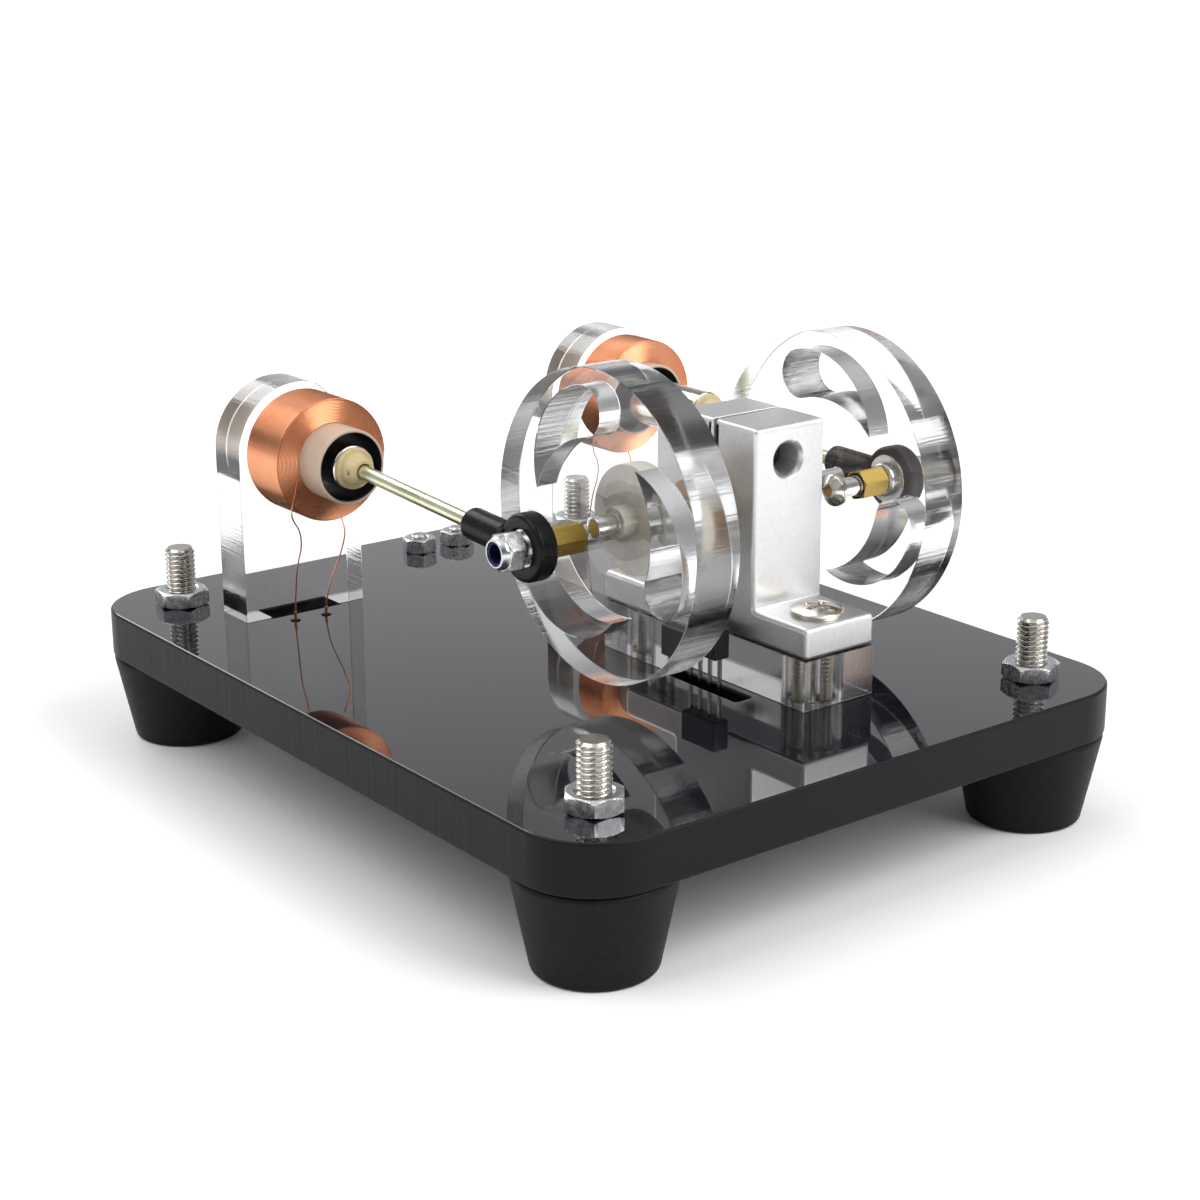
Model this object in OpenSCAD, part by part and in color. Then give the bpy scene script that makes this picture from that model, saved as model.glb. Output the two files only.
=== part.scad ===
// Demonstration electric motor: two coils push magnets that turn a crankshaft with two clear flywheels.
// Millimetres, +Z up, origin on the floor under the plate's middle.
// The crankshaft runs along X and the coils stand on the +Y side.

/* [Plate and feet] */
// length of the plate along the crankshaft
plate_x = 110; // [90:1:140]
// length of the plate along the rods
plate_y = 140; // [120:1:170]
// thickness of the plate
plate_t = 8; // [4:0.5:12]
// corner radius of the plate
plate_r = 12; // [4:0.5:20]
// distance of the foot bolts from the plate's edges
bolt_inset = 12; // [9:0.5:16]
// height of the rubber feet
foot_h = 15; // [8:0.5:25]
// radius of a foot under the plate
foot_r_top = 12; // [7:0.5:14]
// radius of a foot on the floor
foot_r_bottom = 9; // [6:0.5:13]
// height of the bolts above the plate
bolt_above = 10; // [6:0.5:14]

/* [Shaft and block] */
// height of the crankshaft above the plate
shaft_up = 28; // [26:0.5:34]
// place of the crankshaft along Y
shaft_y = -26.5; // [-32:0.5:-20]
// radius of the crankshaft
shaft_r = 1.5; // [1:0.1:2.5]
// height of the clear riser
riser_h = 8; // [4:0.5:12]
// middle of the block along X
block_x = 11; // [9:0.5:13]
// length of the block along the crankshaft
block_l = 14; // [10:0.5:18]
// length of the block's foot along Y
block_foot = 43.4; // [36:0.2:48]
// thickness of the block's foot
block_foot_t = 5; // [3:0.5:7]
// distance of the post's front face from the shaft
post_front = 9.75; // [6:0.25:12]
// distance of the post's back face from the shaft
post_back = 9; // [6:0.25:12]
// height of the block
block_h = 33.2; // [28:0.2:38]
// distance of the foot screws from the shaft
foot_screw_y = 16.3; // [12:0.1:17.5]
// height of the clamp hole above the shaft
clamp_up = 7.8; // [7:0.1:9]
// offset of the clamp hole along the crankshaft
clamp_side = -0.5; // [-2:0.1:2]
// width of the clamp slit
slit_w = 0.9; // [0.5:0.1:2]

/* [Flywheels and crank] */
// radius of the flywheels
wheel_r = 23.8; // [20:0.1:25]
// thickness of the flywheels
wheel_t = 8; // [4:0.5:10]
// outer face of the front flywheel along X
front_wheel_x = -19; // [-24:0.5:-16]
// inner face of the rear flywheel along X
rear_wheel_x = 26; // [23:0.1:30]
// crank radius
crank_r = 4.15; // [4.15:0.05:5.5]
// angle of the front crank from +Y towards +Z
front_angle = -31; // [-180:1:180]
// angle of the rear crank from +Y towards +Z
rear_angle = -171; // [-180:1:180]
// length of the front brass standoff
front_standoff = 6.6; // [5:0.1:10]
// length of the rear brass standoff
rear_standoff = 5.2; // [5:0.1:10]
// radius of the sensor disc
disc_r = 8.5; // [6:0.5:12]
// thickness of the sensor disc
disc_t = 3.5; // [2:0.5:5]
// gap between the front flywheel and the sensor disc
disc_gap = 2.8; // [0.5:0.1:4]

/* [Rods] */
// pivot to crank pin, front
front_rod_l = 45.5; // [42:0.1:50]
// pivot to crank pin, rear
rear_rod_l = 49; // [44:0.1:52]
// radius of a rod
rod_r = 1.15; // [0.9:0.05:1.5]
// radius of the ring of a rod end
ring_r = 5.2; // [4.2:0.1:6]
// thickness of the ring of a rod end
ring_t = 3.5; // [2:0.1:4]
// radius of the bearing in the ring
bearing_r = 3; // [2.6:0.1:3.5]
// length of a rod end from its ring's middle
rod_end_l = 13.8; // [12:0.2:20]
// radius of the rod end's shank
shank_r = 2.5; // [1.8:0.05:2.5]
// distance of a rod's plane from its standoff's end
rod_out = 3; // [2.6:0.1:4]
// distance of a ring's middle from its rod's plane: the front one towards its flywheel, the rear one away
ring_shift = 0.55; // [0:0.05:0.6]

/* [Coils and magnets] */
// height of the coils' axis above the plate
coil_up = 28.3; // [26:0.1:32]
// front end of the front winding along Y
front_coil_y = 31; // [28:0.5:36]
// front end of the rear winding along Y
rear_coil_y = 38; // [28:0.5:40]
// length of the front winding
front_winding_l = 10.1; // [5:0.1:12]
// length of the rear winding
rear_winding_l = 7.6; // [5:0.1:12]
// radius of a winding without its outer layer
core_r = 9.9; // [8:0.1:11]
// outer radius of a bobbin
bobbin_r = 6.15; // [5:0.05:7]
// bore radius of a bobbin
bobbin_bore = 5.5; // [4:0.1:5.8]
// front end of the front bobbin along Y
front_bobbin_y = 25; // [22:0.5:30]
// front end of the rear bobbin along Y
rear_bobbin_y = 35; // [30:0.5:37]
// front face of the front stand along Y
front_stand_y = 41.3; // [38:0.1:44]
// front face of the rear stand along Y
rear_stand_y = 45.8; // [45:0.1:50]
// thickness of a coil stand
stand_t = 8; // [4:0.5:8]
// width of a coil stand
stand_w = 22.5; // [18:0.5:26]
// width of a stand's tab in the plate
tab_w = 13; // [8:0.5:16]
// radius of a magnet
magnet_r = 3.65; // [3:0.05:4.5]
// length of a magnet
magnet_l = 18; // [10:0.5:20]
// radius of the wire of the outer layer
wire_r = 0.2; // [0.15:0.01:0.25]
// step of the outer layer from loop to loop
wire_step = 0.84; // [0.8:0.01:1.2]

/* [Sensor and terminals] */
// place of the sensor along X
sensor_x = 0.7; // [-4:0.1:4]
// place of the sensor along Y
sensor_y = -29; // [-34:0.5:-24]
// height of the sensor above the plate
sensor_up = 5; // [3:0.5:8]
// place of the left terminal along X
terminal_x = 6.5; // [2:0.5:10]
// distance between the terminals
terminal_step = 8.3; // [7:0.1:12]
// place of the terminals along Y
terminal_y = 60; // [52:0.5:64]

/* [Hidden] */
$fn = 64;
lap = 0.02;
play = 0.03;
plate_z = foot_h;
top_z = foot_h + plate_t;
bolt_x = plate_x / 2 - bolt_inset;
bolt_y = plate_y / 2 - bolt_inset;
bolt_r = 2.5;
shaft_z = top_z + shaft_up;
coil_z = top_z + coil_up;
riser_z = top_z + riser_h;
foot_top_z = riser_z + block_foot_t;
block_top_z = riser_z + block_h;
bush_r = 4;
bush_l = 5;
clamp_r = 2.35;
clamp_mouth = 0.75;
clamp_x = block_x + clamp_side;
screw_head_r = 2.6;
m3_r = 1.5;
standoff_across = 4.3;
// slope at the ring's edges, and the lock nut's start from the ring's middle
ring_edge_l = 0.7;
nut_start = 2.35;
m4_r = 2;
rear_out_x = rear_wheel_x + wheel_t;
front_x = front_wheel_x - front_standoff - rod_out;
rear_x = rear_out_x + rear_standoff + rod_out;
front_pin = [shaft_y + crank_r * cos(front_angle), shaft_z + crank_r * sin(front_angle)];
rear_pin = [shaft_y + crank_r * cos(rear_angle), shaft_z + crank_r * sin(rear_angle)];
front_drop = coil_z - front_pin[1];
rear_drop = coil_z - rear_pin[1];
front_pivot_y = front_pin[0] + sqrt(front_rod_l * front_rod_l - front_drop * front_drop);
rear_pivot_y = rear_pin[0] + sqrt(rear_rod_l * rear_rod_l - rear_drop * rear_drop);
front_tilt = asin(front_drop / front_rod_l);
rear_tilt = asin(rear_drop / rear_rod_l);
// the magnet's face lies this far behind the pivot
face_back = 2;
disc_x = front_wheel_x + wheel_t + disc_gap;
spacer_r = 2.5;
hole_head_angle = 69;
hole_head_r = 3.85;
hole_head_x = 17.2;
// holes for the two leads, from the coil's axis and the winding's front end
lead_hole_1 = [-4.2, 6.7];
lead_hole_2 = [1.5, 6.3];
lead_r = 0.2;
lead_steps = 4;
// route of the lead from the winding's front face:
// x from the coil's axis, y from the winding's front, z on the plate
route_1 = [
  [-6.5, -0.25, 26.6],
  [-7.3, -0.25, 23.7],
  [-8, -0.25, 20.9],
  [-7.4, 0.3, 19.2],
  [-5.9, 1.2, 17],
  [-5, 2.4, 14],
  [-5.1, 3.8, 10],
  [-4.6, 5.4, 5.6],
  [-4.2, 6.6, 1.6],
  [-4.2, 6.7, -2],
  [-4.2, 6.7, -9]
];
// route of the lead from the winding's underside
route_2 = [
  [4.6, 6.9, 18.4],
  [5.2, 6.2, 16],
  [5.1, 5.4, 13.5],
  [3.6, 5.2, 9.5],
  [2, 5.8, 5],
  [1.5, 6.3, 1],
  [1.5, 6.3, -2],
  [1.5, 6.3, -9]
];

// Shared shapes
module at_bolts()
{
  for (sx = [-1, 1])
    for (sy = [-1, 1])
      translate([sx * bolt_x, sy * bolt_y, 0]) children();
}

module rounded_outline(x, y, r)
{
  square([x - 2 * r, y], center = true);
  square([x, y - 2 * r], center = true);
  for (sx = [-1, 1])
    for (sy = [-1, 1])
      translate([sx * (x / 2 - r), sy * (y / 2 - r)]) circle(r);
}

// along X from x0 for a length
module x_rod(r, x0, length, y = 0, z = 0)
{
  translate([x0, y, z]) rotate([0, 90, 0]) cylinder(h = length, r = r);
}

// along Y from y0 for a length
module y_rod(r, y0, length, x = 0, z = 0)
{
  translate([x, y0, z]) rotate([-90, 0, 0]) cylinder(h = length, r = r);
}

module hex_nut(across, height, bore, turn = 0)
{
  difference()
  {
    rotate([0, 0, turn]) cylinder(h = height, r = across / 2 / cos(30), $fn = 6);
    translate([0, 0, -1]) cylinder(h = height + 2, r = bore);
  }
}

module cross_recess(width, depth)
{
  translate([-width / 2, -width / 8, 0]) cube([width, width / 4, depth]);
  translate([-width / 8, -width / 2, 0]) cube([width / 4, width, depth]);
}

// Plate, feet and their fasteners
module base_plate()
{
  color([0.03, 0.03, 0.04])
  translate([0, 0, plate_z])
  difference()
  {
    linear_extrude(plate_t)
    difference()
    {
      rounded_outline(plate_x, plate_y, plate_r);
      for (sx = [-1, 1])
        for (sy = [-1, 1])
          translate([sx * bolt_x, sy * bolt_y]) circle(bolt_r + 0.1);
      stand_slot(front_x, front_stand_y, front_coil_y);
      stand_slot(rear_x, rear_stand_y, rear_coil_y);
      translate([sensor_x, sensor_y - 1]) square([3, 16], center = true);
      for (s = [-1, 1])
        translate([block_x, shaft_y + s * foot_screw_y]) circle(m4_r + 0.1);
      for (i = [0, 1])
        translate([terminal_x + i * terminal_step, terminal_y]) circle(m3_r + 0.1);
    }
  }
}

module stand_slot(x, y, coil_y)
{
  translate([x, y + stand_t / 2]) square([tab_w + 0.2, stand_t + 0.2], center = true);
  translate([x + lead_hole_1[0], coil_y + lead_hole_1[1]]) circle(0.6);
  translate([x + lead_hole_2[0], coil_y + lead_hole_2[1]]) circle(0.6);
}

module foot(sx, sy)
{
  color([0.04, 0.04, 0.04])
  translate([sx * bolt_x, sy * bolt_y, 0])
  difference()
  {
    cylinder(h = foot_h, r1 = foot_r_bottom, r2 = foot_r_top);
    translate([0, 0, -1]) cylinder(h = 8, r = 6);
    cylinder(h = foot_h + 1, r = bolt_r + 0.2);
  }
}

module foot_near()
{
  foot(-1, -1);
}

module foot_left()
{
  foot(-1, 1);
}

module foot_right()
{
  foot(1, -1);
}

module foot_far()
{
  foot(1, 1);
}

module foot_bolts()
{
  color([0.75, 0.75, 0.73])
  at_bolts()
  difference()
  {
    union()
    {
      translate([0, 0, 2.6]) cylinder(h = 3.4, r = 4.75);
      translate([0, 0, 5]) cylinder(h = top_z + bolt_above - 5.6, r = bolt_r);
      translate([0, 0, top_z + bolt_above - 0.6]) cylinder(h = 0.6, r1 = bolt_r, r2 = bolt_r - 0.5);
    }
    translate([0, 0, 2.6 - 1]) cross_recess(4.6, 2.6);
  }
}

module foot_nuts()
{
  turns = [52.3, 19, 22.3, 0];
  color([0.7, 0.7, 0.68])
  for (i = [0:3])
    translate([(i < 2 ? -1 : 1) * bolt_x, (i % 2 == 0 ? -1 : 1) * bolt_y, top_z])
      hex_nut(8, 2.7, bolt_r + play, turns[i]);
}

module foot_washers()
{
  color([0.72, 0.72, 0.7])
  at_bolts()
  translate([0, 0, 6])
  difference()
  {
    cylinder(h = 1, r = 5.5);
    translate([0, 0, -1]) cylinder(h = 3, r = bolt_r + 0.15);
  }
}

// Coil stands, bobbins and windings
module coil_stand(x, y)
{
  color([0.85, 0.9, 0.92, 0.4])
  translate([x, y + stand_t, 0])
  rotate([90, 0, 0])
  linear_extrude(stand_t)
  difference()
  {
    union()
    {
      translate([-stand_w / 2, top_z]) square([stand_w, coil_up]);
      translate([-tab_w / 2, plate_z]) square([tab_w, plate_t + 1]);
      translate([0, coil_z]) circle(stand_w / 2);
    }
    translate([0, coil_z]) circle(bobbin_r + play);
  }
}

module front_coil_stand()
{
  coil_stand(front_x, front_stand_y);
}

module rear_coil_stand()
{
  coil_stand(rear_x, rear_stand_y);
}

module y_tube(outer, inner, y0, length, x)
{
  translate([x, y0, coil_z])
  rotate([-90, 0, 0])
  linear_extrude(length)
  difference()
  {
    circle(outer);
    circle(inner);
  }
}

module bobbin(x, y0, y1)
{
  color([0.9, 0.88, 0.86]) y_tube(bobbin_r, bobbin_bore, y0, y1 - y0, x);
}

module front_bobbin()
{
  bobbin(front_x, front_bobbin_y, front_stand_y + stand_t);
}

module rear_bobbin()
{
  bobbin(rear_x, rear_bobbin_y, rear_stand_y + stand_t);
}

module front_winding_core()
{
  color([0.75, 0.38, 0.2]) y_tube(core_r, bobbin_r + play, front_coil_y, front_winding_l, front_x);
}

module rear_winding_core()
{
  color([0.75, 0.38, 0.2]) y_tube(core_r, bobbin_r + play, rear_coil_y, rear_winding_l, rear_x);
}

// One layer of wire as an unbroken tube: 24 rings a loop, straight for one diameter at both ends
layer_r = (core_r + wire_r) / cos(7.5) + 0.02;
function layer_loops(l) = (l - 2 * wire_r - 0.1) / wire_step;
function layer_point(i) = [
  layer_r * cos(15 * i),
  wire_r + 0.05 + wire_step * i / 24,
  layer_r * sin(15 * i)
];
function unit(v) = v / norm(v);
function path_dir(p, i) = unit(p[min(i + 1, len(p) - 1)] - p[max(i - 1, 0)]);
function straight_ends(p, d) = concat(
  [p[0] - unit(p[1] - p[0]) * d],
  p,
  [p[len(p) - 1] + unit(p[len(p) - 1] - p[len(p) - 2]) * d]
);
function layer_path(l) = straight_ends([for (i = [0:floor(layer_loops(l) * 24)]) layer_point(i)], 2 * wire_r);
function path_gap(p) = min([
  for (i = [0:len(p) - 13])
    min([for (j = [i + 12:len(p) - 1]) norm(p[i] - p[j])])
]) - 2 * wire_r;
echo(front_loops = layer_loops(front_winding_l), least_gap_mm = path_gap(layer_path(front_winding_l)));
echo(rear_loops = layer_loops(rear_winding_l), least_gap_mm = path_gap(layer_path(rear_winding_l)));

// A tube along points: each ring stands square to the path, its first corner turned from a side direction
module tube(path, r, sides, side_dir)
{
  count = len(path);
  rings = [
    for (i = [0:count - 1])
      let (d = path_dir(path, i), u = unit(cross(d, side_dir)), w = cross(d, u))
        for (k = [0:sides - 1])
          path[i] + r * cos(360 * k / sides) * u + r * sin(360 * k / sides) * w
  ];
  walls = [
    for (i = [0:count - 2])
      for (k = [0:sides - 1])
        let (a = i * sides + k, b = i * sides + (k + 1) % sides)
          each [[a, a + sides, b + sides], [a, b + sides, b]]
  ];
  start = [for (k = [0:sides - 1]) k];
  finish = [for (k = [0:sides - 1]) (count - 1) * sides + sides - 1 - k];
  polyhedron(points = rings, faces = concat(walls, [start], [finish]), convexity = 6);
}

module winding(x, y, length)
{
  color([0.8, 0.42, 0.22]) translate([x, y, coil_z]) tube(layer_path(length), wire_r, 6, [0, 1, 0]);
}

module front_winding()
{
  winding(front_x, front_coil_y, front_winding_l);
}

module rear_winding()
{
  winding(rear_x, rear_coil_y, rear_winding_l);
}

// Leads: a smooth curve through the route's points
function spline(a, b, c, d, t) = 0.5 * (
  2 * b + (c - a) * t + (2 * a - 5 * b + 4 * c - d) * t * t + (3 * b - a - 3 * c + d) * t * t * t
);
function smooth(p) = concat(
  [
    for (i = [0:len(p) - 2])
      for (s = [0:lead_steps - 1])
        spline(p[max(i - 1, 0)], p[i], p[i + 1], p[min(i + 2, len(p) - 1)], s / lead_steps)
  ],
  [p[len(p) - 1]]
);

module coil_leads(x, y)
{
  color([0.72, 0.36, 0.2])
  translate([x, y, top_z])
  {
    tube(smooth(route_1), lead_r, 8, [0, 1, 0]);
    tube(smooth(route_2), lead_r, 8, [0, 1, 0]);
  }
}

module front_coil_leads()
{
  coil_leads(front_x, front_coil_y);
}

module rear_coil_leads()
{
  coil_leads(rear_x, rear_coil_y);
}

// Riser, block and its screws
module support_riser()
{
  color([0.85, 0.9, 0.92, 0.4])
  translate([block_x, shaft_y, top_z])
  linear_extrude(riser_h)
  difference()
  {
    square([block_l, block_foot], center = true);
    for (s = [-1, 1])
      translate([0, s * foot_screw_y]) circle(m4_r + 1.2);
  }
}

module shaft_support()
{
  color([0.8, 0.8, 0.8])
  difference()
  {
    translate([block_x, shaft_y, riser_z])
    {
      translate([-block_l / 2, -block_foot / 2, 0]) cube([block_l, block_foot, block_foot_t]);
      translate([-block_l / 2, -post_front, 0]) cube([block_l, post_front + post_back, block_h]);
    }
    x_rod(bush_r + 0.02, block_x - block_l, 2 * block_l, shaft_y, shaft_z);
    translate([block_x - block_l, shaft_y - slit_w / 2, shaft_z]) cube([2 * block_l, slit_w, block_h]);
    for (s = [-1, 1])
      translate([block_x, shaft_y + s * foot_screw_y, riser_z - 1])
        cylinder(h = block_foot_t + 2, r = m4_r + 0.1);
    y_rod(clamp_r, shaft_y - post_front - 1, post_front + 1 - 2.25, clamp_x, shaft_z + clamp_up);
    y_rod(m3_r + play, shaft_y - post_front, post_front + 6, clamp_x, shaft_z + clamp_up);
    translate([clamp_x, shaft_y - post_front - lap, shaft_z + clamp_up])
      rotate([-90, 0, 0]) cylinder(h = clamp_mouth, r1 = clamp_r + clamp_mouth, r2 = clamp_r);
  }
}

module clamp_screw()
{
  head_y = shaft_y - 2.25;
  color([0.15, 0.15, 0.16])
  difference()
  {
    union()
    {
      y_rod(clamp_r - 0.15, head_y - 3, 3, clamp_x, shaft_z + clamp_up);
      y_rod(m3_r, head_y - 0.5, 8, clamp_x, shaft_z + clamp_up);
    }
    translate([clamp_x, head_y - 3 - 1, shaft_z + clamp_up])
      rotate([-90, 0, 0]) cylinder(h = 2.5, r = 1.25 / cos(30), $fn = 6);
  }
}

module support_screws()
{
  color([0.78, 0.78, 0.76])
  for (s = [-1, 1])
    translate([block_x, shaft_y + s * foot_screw_y, 0])
    difference()
    {
      union()
      {
        translate([0, 0, foot_top_z]) cylinder(h = 0.9, r = 4.15);
        translate([0, 0, foot_top_z + 0.9]) cylinder(h = 0.4, r1 = 4.15, r2 = 3.3);
        translate([0, 0, plate_z - 4.5]) cylinder(h = foot_top_z + 0.5 - plate_z + 4.5, r = m4_r);
      }
      translate([0, 0, foot_top_z + 0.2]) cross_recess(3.8, 3);
    }
}

module support_nuts()
{
  color([0.7, 0.7, 0.68])
  for (s = [-1, 1])
    translate([block_x, shaft_y + s * foot_screw_y, plate_z - 3.2]) hex_nut(7, 3.2, m4_r + play);
}

// flange outside the block's face, tube inside it
module bushing(outward)
{
  color([0.62, 0.42, 0.22])
  translate([block_x + outward * block_l / 2, shaft_y, shaft_z])
  rotate([0, 90 * outward, 0])
  difference()
  {
    union()
    {
      cylinder(h = 1, r = bush_r + 0.5);
      translate([0, 0, -bush_l]) cylinder(h = bush_l + 0.5, r = bush_r);
    }
    translate([0, 0, -bush_l - 1]) cylinder(h = bush_l + 3, r = shaft_r + play);
  }
}

module front_bushing()
{
  bushing(-1);
}

module rear_bushing()
{
  bushing(1);
}

// Sensor and terminals
module hall_sensor()
{
  color([0.05, 0.05, 0.05])
  translate([sensor_x - 1.5, sensor_y - 4, top_z + sensor_up]) cube([3, 8, 5]);
}

module hall_leads()
{
  color([0.75, 0.75, 0.74])
  for (i = [-1.5:1:1.5])
    translate([sensor_x - 0.25, sensor_y + 2.3 * i - 0.3, plate_z - 2]) cube([0.5, 0.6, plate_t + sensor_up + 2]);
}

module terminal_bolts()
{
  color([0.75, 0.75, 0.73])
  for (i = [0, 1])
    translate([terminal_x + i * terminal_step, terminal_y, 0])
    {
      translate([0, 0, plate_z - 2.4]) cylinder(h = 2.4, r = 2.8);
      translate([0, 0, plate_z - 1]) cylinder(h = plate_t + 4.2, r = m3_r);
    }
}

module terminal_nuts()
{
  color([0.7, 0.7, 0.68])
  for (i = [0, 1])
    translate([terminal_x + i * terminal_step, terminal_y, top_z]) hex_nut(5.5, 2.6, m3_r + play, 10 + 25 * i);
}

// Crankshaft and flywheels
module crankshaft()
{
  color([0.78, 0.78, 0.78]) x_rod(shaft_r, front_wheel_x, rear_out_x - front_wheel_x, shaft_y, shaft_z);
}

// a comma: a crescent between two circles that ends in a round head, drawn from angle 0 to the head's angle
module comma()
{
  difference()
  {
    intersection()
    {
      translate([2.53, 6.92]) circle(13.7);
      polygon([[0, 0], [30, 0], [30, 30], [30 / tan(hole_head_angle), 30]]);
    }
    translate([-0.75, -1.75]) circle(15.26);
  }
  rotate(hole_head_angle) translate([hole_head_x, 0]) circle(hole_head_r);
}

module flywheel(x, start, flip, pin)
{
  color([0.88, 0.92, 0.94, 0.35])
  translate([x, shaft_y, shaft_z])
  rotate([90, 0, 90])
  linear_extrude(wheel_t)
  difference()
  {
    circle(wheel_r, $fn = 128);
    circle(shaft_r + 0.02);
    translate([crank_r * cos(pin), crank_r * sin(pin)]) circle(m3_r + play);
    for (k = [0:2])
      rotate(start + 120 * k) mirror([0, flip, 0]) comma();
  }
}

module front_flywheel()
{
  flywheel(front_wheel_x, 13, 0, front_angle);
}

module rear_flywheel()
{
  flywheel(rear_wheel_x, 141, 1, rear_angle);
}

module sensor_disc()
{
  color([0.6, 0.57, 0.52])
  translate([disc_x, shaft_y, shaft_z])
  rotate([90, 0, 90])
  difference()
  {
    union()
    {
      cylinder(h = disc_t, r = disc_r);
      translate([0, 0, -disc_gap]) cylinder(h = disc_gap + 1, r = spacer_r);
    }
    translate([0, 0, -disc_gap - 1]) cylinder(h = disc_gap + disc_t + 2, r = shaft_r + 0.02);
    translate([crank_r * cos(front_angle), crank_r * sin(front_angle), -1]) cylinder(h = disc_t + 2, r = m3_r + play);
  }
}

// a screw along +X in its own frame, from the head's seat
module crank_screw(length)
{
  difference()
  {
    union()
    {
      x_rod(screw_head_r, -2, 2);
      x_rod(m3_r, -1, length + 1);
    }
    translate([-3, 0, 0]) rotate([0, 90, 0]) cross_recess(3, 2.2);
  }
}

module crank_screws()
{
  color([0.78, 0.78, 0.76])
  {
    translate([disc_x + disc_t, front_pin[0], front_pin[1]])
      rotate([0, 0, 180]) crank_screw(wheel_t + disc_gap + disc_t + 3);
    translate([rear_wheel_x, rear_pin[0], rear_pin[1]]) crank_screw(wheel_t + 3);
  }
}

module standoff(x, length, pin)
{
  color([0.72, 0.55, 0.22])
  translate([x, pin[0], pin[1]])
  rotate([0, 90, 0])
  difference()
  {
    cylinder(h = length, r = standoff_across / 2 / cos(30), $fn = 6);
    translate([0, 0, -1]) cylinder(h = length + 2, r = m3_r + play);
  }
}

module front_standoff_nut()
{
  standoff(front_wheel_x - front_standoff, front_standoff, front_pin);
}

module rear_standoff_nut()
{
  standoff(rear_out_x, rear_standoff, rear_pin);
}

// Rods: each piece is drawn about the pivot, +X away from the flywheels, the crank pin at -Y
module on_front_rod()
{
  translate([front_x, front_pivot_y, coil_z]) rotate([front_tilt, 0, 0]) mirror([1, 0, 0]) children();
}

module on_rear_rod()
{
  translate([rear_x, rear_pivot_y, coil_z]) rotate([rear_tilt, 0, 0]) children();
}

module rod(length)
{
  color([0.66, 0.62, 0.4])
  difference()
  {
    y_rod(rod_r, 7.2 - length, length - 7.2 + 0.9);
    x_rod(0.5 + play, -3, 6);
  }
}

module rod_end(length, shift)
{
  color([0.04, 0.04, 0.04])
  translate([0, -length, 0])
  difference()
  {
    union()
    {
      translate([shift, 0, 0])
      {
        x_rod(ring_r, ring_edge_l - ring_t / 2, ring_t - 2 * ring_edge_l);
        ring_edge(1);
        ring_edge(-1);
      }
      y_rod(shank_r, 3.6, rod_end_l - 4.2);
      translate([0, rod_end_l - 0.6, 0]) rotate([-90, 0, 0]) cylinder(h = 0.6, r1 = shank_r, r2 = shank_r - 0.5);
    }
    x_rod(bearing_r, -4, 8);
    y_rod(rod_r + 0.02, 7, rod_end_l);
    // what the shank would leave inside the washer's and the nut's places beside the ring
    x_rod(4.1, shift + ring_t / 2, 4);
    x_rod(4.1, shift - ring_t / 2 - 4, 4);
  }
}

// the sloped edge of the rod end's ring on one side
module ring_edge(outward)
{
  translate([outward * (ring_t / 2 - ring_edge_l), 0, 0])
    rotate([0, 90 * outward, 0]) cylinder(h = ring_edge_l, r1 = ring_r, r2 = ring_r - ring_edge_l);
}

// inner ring and sleeve, and on the flywheel's side a washer with a domed collar
module bearing(length, shift)
{
  color([0.75, 0.75, 0.74])
  translate([0, -length, 0])
  difference()
  {
    union()
    {
      x_rod(bearing_r - 0.02, shift - 1.3, 2.6);
      x_rod(2.1, shift - 2.1, 2.1 + nut_start);
      x_rod(3.9, shift - ring_t / 2 - 0.3, 0.27);
      x_rod(2.75, 0.5 - rod_out, shift - ring_t / 2 - 0.1 - 0.5 + rod_out);
      translate([0.5 - rod_out, 0, 0]) rotate([0, -90, 0]) cylinder(h = 0.4, r1 = 2.75, r2 = 2.2);
    }
    x_rod(m3_r + play, -4, 9);
  }
}

module stud(length, shift)
{
  color([0.75, 0.75, 0.73]) x_rod(m3_r, 0.1 - rod_out, shift + nut_start + 2.6 - 0.1 + rod_out, -length, 0);
}

module lock_nut(length, shift)
{
  color([0.75, 0.75, 0.74])
  translate([shift + nut_start, -length, 0])
  rotate([0, 90, 0])
  difference()
  {
    union()
    {
      rotate([0, 0, 12]) cylinder(h = 2.8, r = 2.75 / cos(30), $fn = 6);
      cylinder(h = 3.4, r = 2.5);
      translate([0, 0, 3.4]) cylinder(h = 0.6, r1 = 2.5, r2 = 2.15);
    }
    translate([0, 0, -1]) cylinder(h = 6, r = m3_r + play);
    translate([0, 0, 2.9]) cylinder(h = 2, r = 1.85);
  }
}

module lock_insert(length, shift)
{
  color([0.08, 0.1, 0.3])
  translate([shift + nut_start + 2.95, -length, 0])
  rotate([90, 0, 90])
  linear_extrude(0.9)
  difference()
  {
    circle(1.83);
    circle(m3_r + play);
  }
}

module front_rod()
{
  on_front_rod() rod(front_rod_l);
}

module rear_rod()
{
  on_rear_rod() rod(rear_rod_l);
}

module front_rod_end()
{
  on_front_rod() rod_end(front_rod_l, -ring_shift);
}

module rear_rod_end()
{
  on_rear_rod() rod_end(rear_rod_l, ring_shift);
}

module front_bearing()
{
  on_front_rod() bearing(front_rod_l, -ring_shift);
}

module rear_bearing()
{
  on_rear_rod() bearing(rear_rod_l, ring_shift);
}

module front_stud()
{
  on_front_rod() stud(front_rod_l, -ring_shift);
}

module rear_stud()
{
  on_rear_rod() stud(rear_rod_l, ring_shift);
}

module front_lock_nut()
{
  on_front_rod() lock_nut(front_rod_l, -ring_shift);
}

module rear_lock_nut()
{
  on_rear_rod() lock_nut(rear_rod_l, ring_shift);
}

module front_lock_insert()
{
  on_front_rod() lock_insert(front_rod_l, -ring_shift);
}

module rear_lock_insert()
{
  on_rear_rod() lock_insert(rear_rod_l, ring_shift);
}

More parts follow.
